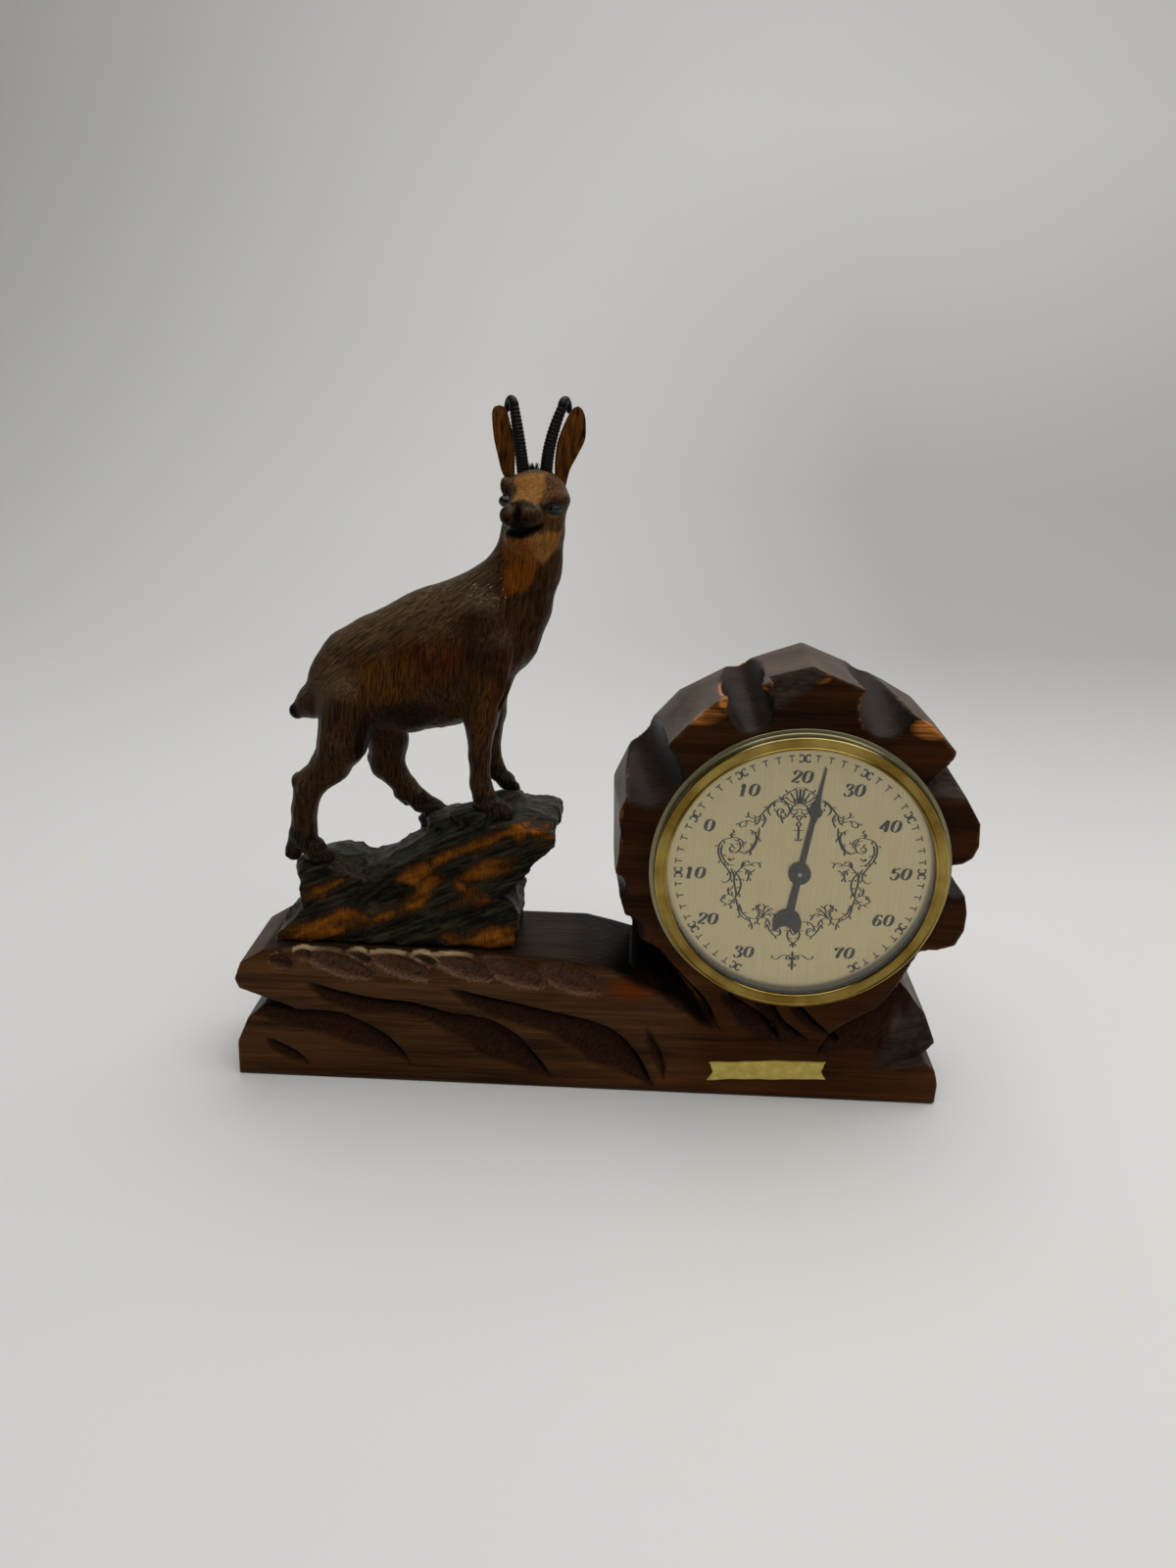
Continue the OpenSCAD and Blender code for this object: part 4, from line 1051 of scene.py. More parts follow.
def rock_field(x, y, z):
    """Below zero inside the rock: slabs with their front top edges sloped off, hollows and
    gouge marks cut in."""
    run, rise = leaning(x, z, LAYER_SLANT)
    lowered = z + 0.32 * np.maximum(-3 - y, 0)
    rock = slab_distance(x, y, z, ROCK_FOOT, ROCK_FRONT, 11.8)
    rock = soft_min(rock, slab_distance(x, y, lowered, ROCK_SLAB, ROCK_FRONT + 0.4, 7), 0.8)
    rock = soft_min(rock, slab_distance(x, y, z, ROCK_LEDGE, 5, 10.4), 0.8)
    rock = soft_min(rock, slab_distance(x, y, z, BACK_LEDGE, 2, 10.8), 0.6)
    for lump in BOULDERS:
        rock = soft_min(rock, lump_distance(x, y, z, *lump), 2.2)
    cut = 0.0
    for cx, cz, half_length, half_height, deep in ROCK_HOLLOWS:
        u, v = leaning(x - cx, z - cz, LAYER_SLANT)
        cut = np.maximum(cut, deep * np.maximum(1 - (u / half_length) ** 2 - (v / half_height) ** 2, 0))
    rock = soft_max(rock, ROCK_FRONT + 0.4 + cut - y, 0.8)
    bend = 1.2 * value_noise(x / 12, y / 9, z / 7, 31)
    bowls = gouge_bowls(run / 8 + bend * 0.2, y / 6, (rise + bend) / 2.9, 32)
    chips = gouge_bowls(run / 3.4, y / 2.6, (rise + bend) / 1.4, 37)
    fibre = value_noise(x / 0.7, y / 0.7, z / 4, 41)
    worked = rock + 1.15 * np.clip(bowls, 0, 1) + 0.3 * np.clip(chips, 0, 1) + 0.08 * fibre - 0.65
    return np.maximum(worked, BASE_TOP - z)


# Rock paint: green-black stain with a painted grey sheen streaked along the layers where the chisel tore the
# wood, painted lighter as light where it faces up and darker in hollows as pooled stain and painted shade,
# rubbed back to orange bare wood that shows its short upright grain
rock_wood, tree, place = new_material("stained_chiselled_linden_rock")
upright = hair(tree, place, 86, 3.2, 0.32)
layers = hair(tree, place, LAYER_SLANT, 7.0, 0.9)
stains = add(tree, "TexNoise", {"Vector": place, "Scale": 1 / (5 * MM), "Detail": 3.0})
bare = layered(tree, "#613408", (add(tree, "MapRange", {0: upright, 1: 0.3, 2: 0.7}), "#8f5412"))
bare = layered(tree, bare, (add(tree, "MapRange", {0: stains, 1: 0.46, 2: 0.7, 3: 0, 4: 0.85}), "#301705"))
soft_grain = add(tree, "MapRange", {0: upright, 1: 0.35, 2: 0.65})
edge = add(tree, "Math", {0: upright, 1: 0.12, 2: "bare"}, operation="MULTIPLY_ADD")
# The grey-olive streaks along the layers are a painted sheen
base = layered(
    tree, "#0d0b07", (add(tree, "MapRange", {0: layers, 1: 0.42, 2: 0.74}), "#3b3425"),
    # Faces that look up are painted lighter as painted light
    ("top", add(tree, "MapRange", {0: layers, 1: 0.35, 2: 0.7}), "#12100b", "#3c3628"),
    (add(tree, "MapRange", {0: edge, 1: 0.1, 2: 0.42}), soft_grain, "#1a0e05", "#45290d"),
    (add(tree, "MapRange", {0: edge, 1: 0.34, 2: 0.9}), bare),
    (add(tree, "MapRange", {0: "worn", 1: 0.35, 2: 0.9, 3: 0, 4: 0.4}), "#6d5a38"),
    ("pooled", "#060503"),
)
relief = add(tree, "Math", {0: upright, 1: layers}, operation="ADD")
bump = add(tree, "Bump", {"Height": relief, "Strength": 0.6, "Distance": 0.25 * MM})
surface(tree, base, 0.42, Normal=bump, Specular_IOR_Level=sheen(tree, 0.04, 0.14))

points, quads = carved_surface(rock_field, (-80.5, -12, 37), (-6, 12.5, 78), ROCK_STEP)
points[:, 2] = np.maximum(points[:, 2], BASE_TOP)
rock = mesh_piece("rock", points, quads, rock_wood)
x, y, z = points.T
worn_edge, in_hollow, normal = wear_and_hollow(rock_field, points, 0.7)
wander = 1.1 * value_noise(x / 3.4, y / 3, z / 2.4, 51) + 0.4 * value_noise(x / 1.4, y / 1, z / 1.1, 52)
outlines = [BARE_BAND, *BARE_PATCHES]
bare = np.max([inside(x + wander, z + 0.7 * wander, outline, 2.2) for outline in outlines], axis=0)
run, rise = leaning(x, z, LAYER_SLANT)
stained = value_noise(run / 6, y / 3, rise / 2, 53) + 0.5 * value_noise(run / 2, y / 1, rise / 1.2, 54)
bare = bare * (1 - 0.5 * ramp(stained, 0.0, 0.6))
keep(
    rock,
    bare=bare * ramp(-y, 5.5, 8) * ramp(-normal[:, 1], 0.05, 0.5),
    worn=worn_edge * ramp(normal[:, 2], -0.2, 0.6),
    # Darker in hollows as pooled stain and painted shade
    pooled=0.95 * ramp(in_hollow, 0.45, 0.95),
    # Lighter where the rock faces up, as painted light
    top=ramp(normal[:, 2], 0.2, 0.8),
)
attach(rock, "root")
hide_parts("chamois_carving")

# Horns
# Two turned and bent pegs of black-stained hardwood, ringed like real chamois horns, that rise from the
# skull, bow apart and hook back at the top. Each is glued into a hole in the head.
HORN_FEET = {
    "horn_left": ((-16.6, -1, 153.2), -2.4, 1.3, -0.95),
    "horn_right": ((-11.5, -1, 153.2), 3.4, 2.0, 0.64),
}
HORN_RISE = 16.0
HORN_BACK = 2.4
HOOK_BACK = 1.6
HOOK_RISE = 1.5
BOW_SHARE = 0.72
HORN_R = 1.45
HORN_TIP_R = 0.72
HORN_RINGS = 21


def swept_tube(path, radii, around=20):
    """Points and faces of a round tube along a path, closed at both ends: at each point of the path a
    circle square to it, its first axis square to both the path and the Y axis."""
    path = np.array(path, float)
    ahead = np.gradient(path, axis=0)
    ahead /= np.linalg.norm(ahead, axis=1, keepdims=True)
    side = np.cross(ahead, [0.0, 1.0, 0.0])
    side /= np.linalg.norm(side, axis=1, keepdims=True)
    other = np.cross(side, ahead)
    turn = np.linspace(0, 2 * np.pi, around, endpoint=False)
    rings = path[:, None] + np.array(radii)[:, None, None] * (
        np.cos(turn)[None, :, None] * side[:, None] + np.sin(turn)[None, :, None] * other[:, None]
    )
    faces = grid_faces(len(path), around, closed_columns=True)
    return rings.reshape(-1, 3), closed_ends(faces, len(path), around)


def closed_ends(faces, rows, columns):
    """Grid faces with one flat face added over each end ring."""
    first = list(range(columns))
    last = [(rows - 1) * columns + k for k in reversed(range(columns))]
    return [*faces.tolist(), first, last]


horn_black, tree, place = new_material("black_stained_horn_wood")
rubbed = add(tree, "MapRange", {0: hair(tree, place, 86, 2.5, 0.5), 1: 0.45, 2: 0.8})
rings = {"Vector": place, "Scale": 1 / (2 * MM), "Distortion": 1.5}
rings = add(tree, "TexWave", rings, bands_direction="Z", output="Fac")
base = layered(tree, "#040303", (rubbed, "#16130f"))
# The lighter bands on the rings are a painted highlight on their ridges
base = layered(tree, base, (add(tree, "MapRange", {0: rings, 1: 0.55, 2: 1.0, 3: 0, 4: 0.4}), "#332d24"))
surface(tree, base, 0.4, Specular_IOR_Level=sheen(tree, 0.1, 0.3))

for name, (foot, spread_out, bow, hook_out) in HORN_FEET.items():
    t = np.linspace(0, 1, 120)
    rise = np.minimum(t / BOW_SHARE, 1)
    hook = np.radians(200) * np.maximum(t - BOW_SHARE, 0) / (1 - BOW_SHARE)
    path = np.stack([
        foot[0] + rise**bow * spread_out + hook_out * (1 - np.cos(hook)),
        foot[1] + rise**2 * HORN_BACK + HOOK_BACK * (1 - np.cos(hook)),
        foot[2] + rise * HORN_RISE + HOOK_RISE * np.sin(hook) - 0.5 * np.maximum(hook - np.pi / 2, 0),
    ], axis=1)
    rings = 0.08 * np.sin(2 * np.pi * HORN_RINGS * rise**0.9) * (t < BOW_SHARE)
    radii = (HORN_R + (HORN_TIP_R - HORN_R) * t**2.2 + rings) * np.sqrt(np.clip((1 - t) / 0.03, 0.02, 1))
    tube, faces = swept_tube(path, radii)
    horn = mesh_piece(name + "_ringed", tube, faces, horn_black)
    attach(horn, "root")
    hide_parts(name)

# Tuft
# A few coarse dark bristles let into the crown between the horns.
TUFT_FOOT = (-14.0, -1.2, 155.0)
TUFT_HAIRS = 26
chance = np.random.default_rng(7)
hairs, hair_faces, start = [], [], 0
for lean_x, lean_y, length in zip(*chance.uniform((-0.7, -0.5, 1.8), (0.7, 0.6, 3.0), (TUFT_HAIRS, 3)).T):
    t = np.linspace(0, 1, 6)
    foot = np.array(TUFT_FOOT) + (lean_x * 1.4, lean_y * 1.2, -0.6)
    path = foot + np.stack([lean_x * t**1.4 * length * 0.8, lean_y * t * length * 0.6, t * length], axis=1)
    one, faces = swept_tube(path, 0.24 * (1 - 0.8 * t), 6)
    hairs.append(one)
    hair_faces += [[corner + start for corner in face] for face in faces]
    start += len(one)
tuft = mesh_piece("crown_tuft", np.concatenate(hairs), hair_faces, horn_black)
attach(tuft, "root")

# Ears
# Two thin leaf-shaped slips of wood, cupped to the front with a gouge, stained orange-brown and glued into
# the head. Each is given by heights, middles and half widths from foot to tip
EARS = {
    "ear_left": [(151.8, -19.4, 1.0), (154.6, -20.5, 1.5), (158, -20.9, 1.95), (162, -21.4, 2.3),
                 (166.3, -22.1, 2.0), (169.4, -22.4, 1.7)],
    "ear_right": [(151.8, -8.4, 1.2), (155.6, -8.0, 1.8), (159, -7.0, 2.6), (162.4, -5.9, 3.05),
                  (166.6, -5.0, 2.2), (169.5, -4.6, 1.1)],
}
EAR_FOOT_Y = 2.4
EAR_TIP_Y = 1.1
EAR_THICK = 1.3
EAR_CUP = 0.9
EAR_NICK = (-3.2, 1.2, 163.4)

ear_wood, tree, place = new_material("orange_brown_stained_ear_wood")
streak = hair(tree, place, 86, 5.0, 0.6)
lit = add(tree, "MapRange", {0: streak, 1: 0.36, 2: 0.66})
base = layered(tree, "#361c07", (lit, "#754515"), ("rim", "#1a0e08"))
bump = add(tree, "Bump", {"Height": streak, "Strength": 0.5, "Distance": 0.2 * MM})
surface(tree, base, 0.45, Normal=bump, Specular_IOR_Level=sheen(tree, 0.05, 0.2))

for name, stations in EARS.items():
    t = np.linspace(0, 1, 60)[:, None]
    up, middle, half = (column[:, None] for column in rounded_line(stations, 60).T)
    turn = np.linspace(0, 2 * np.pi, 32, endpoint=False)[None, :]
    half = half * np.sqrt(np.clip(1 - t**26, 0.0004, 1))
    u, front = np.cos(turn), np.sin(turn) < 0
    bow = np.sqrt(1 - u * u)
    depth = np.where(front, EAR_CUP * bow**1.5 * ramp(t, 0.0, 0.3), EAR_THICK * bow)
    depth = depth * np.sqrt(np.clip(1 - t**12, 0.0004, 1)) + 0.35 * u * u
    ear_y = EAR_FOOT_Y + (EAR_TIP_Y - EAR_FOOT_Y) * t + depth
    points = np.stack([middle + half * u, ear_y, up + 0 * u], axis=-1).reshape(-1, 3)
    faces = closed_ends(grid_faces(60, 32, closed_columns=True), 60, 32)
    ear = mesh_piece(name + "_cupped", points, faces, ear_wood)
    rim = 0.5 * ramp(np.abs(u) + 0 * t, 0.9, 1.0) * (t > 0.1) * front
    keep(ear, rim=np.maximum(rim.ravel(), spot(points, EAR_NICK, (1.1, 3, 1.5))))
    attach(ear, "root")
    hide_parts(name)

# Label
# A swallow-tailed ribbon of thin card painted yellow-ochre, its edges a little uneven, glued
# to the base's front.
LABEL_MIDDLE = (47.5, 8.15)
LABEL_SIZE = (31.0, 5.5)
LABEL_TILT = 3.0
LABEL_THICK = 0.45
LABEL_NOTCH = 1.7


def mottled(name, scale, detail, reach, dark, light):
    """A new material, its tree, and two close tones mixed by soft noise: the noise's scale and detail, and
    the reach of its values over which one tone turns into the other."""
    made, tree, place = new_material(name)
    noise = add(tree, "TexNoise", {"Vector": place, "Scale": scale, "Detail": detail})
    share = add(tree, "MapRange", {0: noise, 1: reach[0], 2: reach[1]})
    return made, tree, layered(tree, dark, (share, light))


label_yellow, tree, base = mottled("painted_yellow_card", 420.0, 4.0, (0.35, 0.7), "#bfa750", "#dac36c")
surface(tree, layered(tree, base, ("rim", "#8a7832")), 0.5, Specular_IOR_Level=0.1)

u = np.linspace(-1, 1, 81)[:, None]
v = np.linspace(-1, 1, 17)[None, :]
notch = LABEL_NOTCH * np.abs(u) ** 12 * (1 - np.abs(v) ** 1.3) * np.sign(u)
label_x = LABEL_MIDDLE[0] + u * LABEL_SIZE[0] / 2 - notch - 0.35 * u * (v > 0.6)
uneven = 0.1 * np.sin(5.1 * u + 1) + 0.06 * np.sin(13 * u)
label_z = LABEL_MIDDLE[1] + v * (LABEL_SIZE[1] / 2 + uneven) - 0.25 * u**2
bulge = LABEL_THICK * np.sqrt(np.sqrt(np.clip((1 - u**24) * (1 - v**16), 0, 1)))
label_z = label_z + np.tan(np.radians(LABEL_TILT)) * (label_x - LABEL_MIDDLE[0])
front = np.stack([label_x + 0 * v, FACE_Y - bulge + 0 * label_x, label_z + 0 * u], axis=-1).reshape(-1, 3)
rear = front.copy()
rear[:, 1] = FACE_Y + 0.02
count = len(front)
rows, columns = u.size, v.size
along_top = columns * np.arange(1, rows) + columns - 1
down_end = rows * columns - 2 - np.arange(columns - 1)
along_foot = columns * np.arange(rows - 2, 0, -1)
rim_loop = np.concatenate([np.arange(columns), along_top, down_end, along_foot])
side = np.stack([rim_loop, np.roll(rim_loop, -1), np.roll(rim_loop, -1) + count, rim_loop + count], axis=1)
sheet = grid_faces(rows, columns)
faces = np.concatenate([sheet, sheet[:, ::-1] + count, side[:, ::-1]])
label = mesh_piece("label_ribbon", np.concatenate([front, rear]), faces, label_yellow)
edge = ramp(np.maximum(np.abs(u) ** 8, np.abs(v) ** 4 + 0 * u), 0.75, 1.0) + 0 * v
keep(label, rim=np.tile(0.6 * edge.ravel(), 2))
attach(label, "root")
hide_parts("ribbon_label")

# Bezel
# A spun ring of lacquered brass: a satin band between two burnished lips, a plain outer wall tinted
# grey-olive as a painted reflection, and a flange that rests on the wood. It holds the glass and is crimped
# behind the cup's rim.
BAND_OUT_R = 35.0
BAND_IN_R = 31.85
BAND_PROUD = 3.7
FLANGE_R = 36.2
WALL_IN_R = 34.3
GLASS_FRONT = 3.1
DIAL_FRONT = 0.36


def on_dial(r, turn, height):
    """A place given round the dial's axis: its radius, its angle anticlockwise from the right in radians,
    and its height in front of the wood."""
    place = DIAL_X + r * np.cos(turn), FACE_Y - height, DIAL_Z + r * np.sin(turn)
    return np.stack(np.broadcast_arrays(*place), axis=-1)


def rounded_corners(corners, reach, steps=4):
    """A closed outline with each corner replaced by a short curve that starts and ends a
    given reach from it."""
    p = np.array(corners, float)
    before, after = np.roll(p, 1, axis=0) - p, np.roll(p, -1, axis=0) - p
    before_length = np.linalg.norm(before, axis=1, keepdims=True)
    after_length = np.linalg.norm(after, axis=1, keepdims=True)
    start = p + before / before_length * np.minimum(reach, 0.45 * before_length)
    end = p + after / after_length * np.minimum(reach, 0.45 * after_length)
    t = np.linspace(0, 1, steps + 1)[None, :, None]
    return ((1 - t) ** 2 * start[:, None] + 2 * t * (1 - t) * p[:, None] + t**2 * end[:, None]).reshape(-1, 2)


def turned_ring(name, outline, material, around=192):
    """A ring turned round the dial's axis from a closed outline of radius and height, anticlockwise."""
    outline = np.array(outline)
    turn = np.linspace(0, 2 * np.pi, around, endpoint=False)
    points = on_dial(outline[None, :, 0], turn[:, None], outline[None, :, 1]).reshape(-1, 3)
    return mesh_piece(name, points, grid_faces(around, len(outline), True, True)[:, ::-1], material)


bezel_brass, tree, base = mottled("lacquered_satin_brass", 90.0, 3.0, (0.38, 0.68), "#7d6329", "#a68f4c")
place = add(tree, "TexCoord", output="Object")
specks = add(tree, "TexNoise", {"Vector": place, "Scale": 1500.0, "Detail": 2.0})
rough = add(tree, "MapRange", {0: specks, 1: 0.3, 2: 0.7, 3: 0.34, 4: 0.5})
rough = add(tree, "Mix", {0: "lip", 2: rough, 3: 0.16})
bump = add(tree, "Bump", {"Height": specks, "Strength": 0.2, "Distance": 0.05 * MM})
surface(tree, layered(tree, base, ("wall", "#8d8a70")), rough, Metallic=1.0, Normal=bump)

bezel_outline = rounded_corners([
    (BAND_IN_R, GLASS_FRONT + 0.02), (WALL_IN_R, GLASS_FRONT + 0.02), (WALL_IN_R, -0.6),
    (WALL_IN_R - 0.6, -0.6), (WALL_IN_R - 0.6, -0.95), (WALL_IN_R + 0.4, -0.95), (WALL_IN_R + 0.4, 0),
    (FLANGE_R, 0), (FLANGE_R, 0.5), (BAND_OUT_R + 0.25, 0.5), (BAND_OUT_R, 0.9),
    (BAND_OUT_R, BAND_PROUD - 0.25), (BAND_OUT_R - 0.3, BAND_PROUD), (BAND_OUT_R - 0.62, BAND_PROUD - 0.1),
    (BAND_OUT_R - 0.75, BAND_PROUD - 0.28), (BAND_IN_R + 0.75, BAND_PROUD - 0.36),
    (BAND_IN_R + 0.6, BAND_PROUD - 0.14), (BAND_IN_R + 0.28, BAND_PROUD - 0.06),
    (BAND_IN_R, BAND_PROUD - 0.3),
][::-1], 0.16)
bezel = turned_ring("bezel_band", bezel_outline, bezel_brass)
r, h = np.tile(bezel_outline.T, len(bezel.data.vertices) // len(bezel_outline))
keep(
    bezel,
    # The outer wall's grey-olive tint is a painted reflection
    wall=0.8 * ramp(r, BAND_OUT_R - 0.2, BAND_OUT_R - 0.02) * (h < BAND_PROUD - 0.2),
    lip=ramp(np.abs(r - (BAND_IN_R + BAND_OUT_R) / 2), 0.75, 1.0) * (h > 3),
)
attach(bezel, "root")
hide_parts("bezel")

# Glass
# A flat disc of clear window glass held against the band from behind.
crystal_glass, tree, place = new_material("clear_window_glass")
glass = {"Base Color": "#f4f8f5", "Roughness": 0.02, "IOR": 1.5, "Transmission Weight": 1.0}
clear = add(tree, "BsdfTransparent", {"Color": "#eef3ef"})
shadow = add(tree, "LightPath", output="Is Shadow Ray")
shader = add(tree, "MixShader", {0: shadow, 1: add(tree, "BsdfPrincipled", glass), 2: clear})
add(tree, "OutputMaterial", {"Surface": shader})


def dress(names, material):
    """Gives CAD pieces that stay in view a material of the scene."""
    for name in names:
        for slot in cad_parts[name].material_slots:
            slot.material = material


dress(["crystal"], crystal_glass)

# Dial plate
# Thin sheet brass with a champagne-gold lacquer over vertical brushing, a little pinker in faint patches.
dial_metal, tree, place = new_material("brushed_champagne_brass")
brushing = grained(tree, place, (0.16, 1000, 16), Detail=4.0, Roughness=0.7)
flush = add(tree, "TexNoise", {"Vector": place, "Scale": 120.0, "Detail": 1.0})
base = layered(tree, "#cfb584", (add(tree, "MapRange", {0: brushing, 1: 0.3, 2: 0.7}), "#e6d0a8"))
base = layered(tree, base, (add(tree, "MapRange", {0: flush, 1: 0.55, 2: 0.75, 3: 0, 4: 0.35}), "#dcb48a"))
bump = add(tree, "Bump", {"Height": brushing, "Strength": 0.15, "Distance": 0.03 * MM})
surface(tree, base, 0.32, Metallic=0.9, Normal=bump)
dress(["dial_plate"], dial_metal)

# Dial print
# The scale, its numerals and a rococo garland, printed in black on the plate: pen strokes that swell where
# they run upright and thin where they run level.
PRINT_HEIGHT = DIAL_FRONT + 0.02
DIAL_TURN = 1.8
DEGREES_PER_UNIT = 3
TOP_READING = 20
READINGS = range(-30, 71, 2)
MARK_R = 29.1
NUMERAL_R = 24.6
NUMERAL_HEIGHT = 3.15
NUMERAL_SLANT = 0.22
GARLAND_MIDDLE = -0.7
LEAFLET = 1.0
LEAFLET_EVERY = 1.9
# Each numeral's strokes in a box one high: a list of points for each stroke, and dots
NUMERALS = {
    "0": ([[(0.36, 0.97), (0.13, 0.8), (0.08, 0.5), (0.13, 0.2), (0.36, 0.03), (0.59, 0.2), (0.64, 0.5),
            (0.59, 0.8), (0.36, 0.97)]],
          []),
    "1": ([[(0.36, 0.95), (0.36, 0.05)],
           [(0.14, 0.76), (0.24, 0.82), (0.36, 0.95)],
           [(0.16, 0.02), (0.56, 0.02)]],
          []),
    "2": ([[(0.14, 0.72), (0.18, 0.88), (0.38, 0.97), (0.6, 0.86), (0.6, 0.66), (0.42, 0.42),
            (0.08, 0.08)],
           [(0.08, 0.08), (0.26, 0.15), (0.46, 0.04), (0.64, 0.16)]],
          [(0.17, 0.73)]),
    "3": ([[(0.14, 0.78), (0.24, 0.94), (0.42, 0.97), (0.57, 0.86), (0.53, 0.66), (0.3, 0.54)],
           [(0.3, 0.54), (0.54, 0.46), (0.63, 0.27), (0.5, 0.07), (0.28, 0.02), (0.1, 0.16)]],
          [(0.17, 0.79), (0.13, 0.18)]),
    "4": ([[(0.5, 0.97), (0.28, 0.66), (0.02, 0.3)],
           [(0.02, 0.3), (0.7, 0.3)],
           [(0.5, 0.95), (0.5, 0.03)]],
          []),
    "5": ([[(0.2, 0.95), (0.4, 0.9), (0.62, 0.97)],
           [(0.2, 0.95), (0.15, 0.54)],
           [(0.15, 0.54), (0.34, 0.62), (0.56, 0.52), (0.61, 0.28), (0.46, 0.06), (0.26, 0.02),
            (0.09, 0.15)]],
          [(0.12, 0.17)]),
    "6": ([[(0.58, 0.84), (0.46, 0.96), (0.26, 0.88), (0.11, 0.56), (0.12, 0.22), (0.32, 0.03),
            (0.54, 0.16), (0.57, 0.4), (0.38, 0.56), (0.18, 0.42)]],
          [(0.56, 0.84)]),
    "7": ([[(0.08, 0.7), (0.14, 0.9), (0.34, 0.88), (0.52, 0.88), (0.66, 0.97)],
           [(0.66, 0.97), (0.44, 0.56), (0.34, 0.03)]],
          []),
}
NUMERAL_WIDTH = 0.84
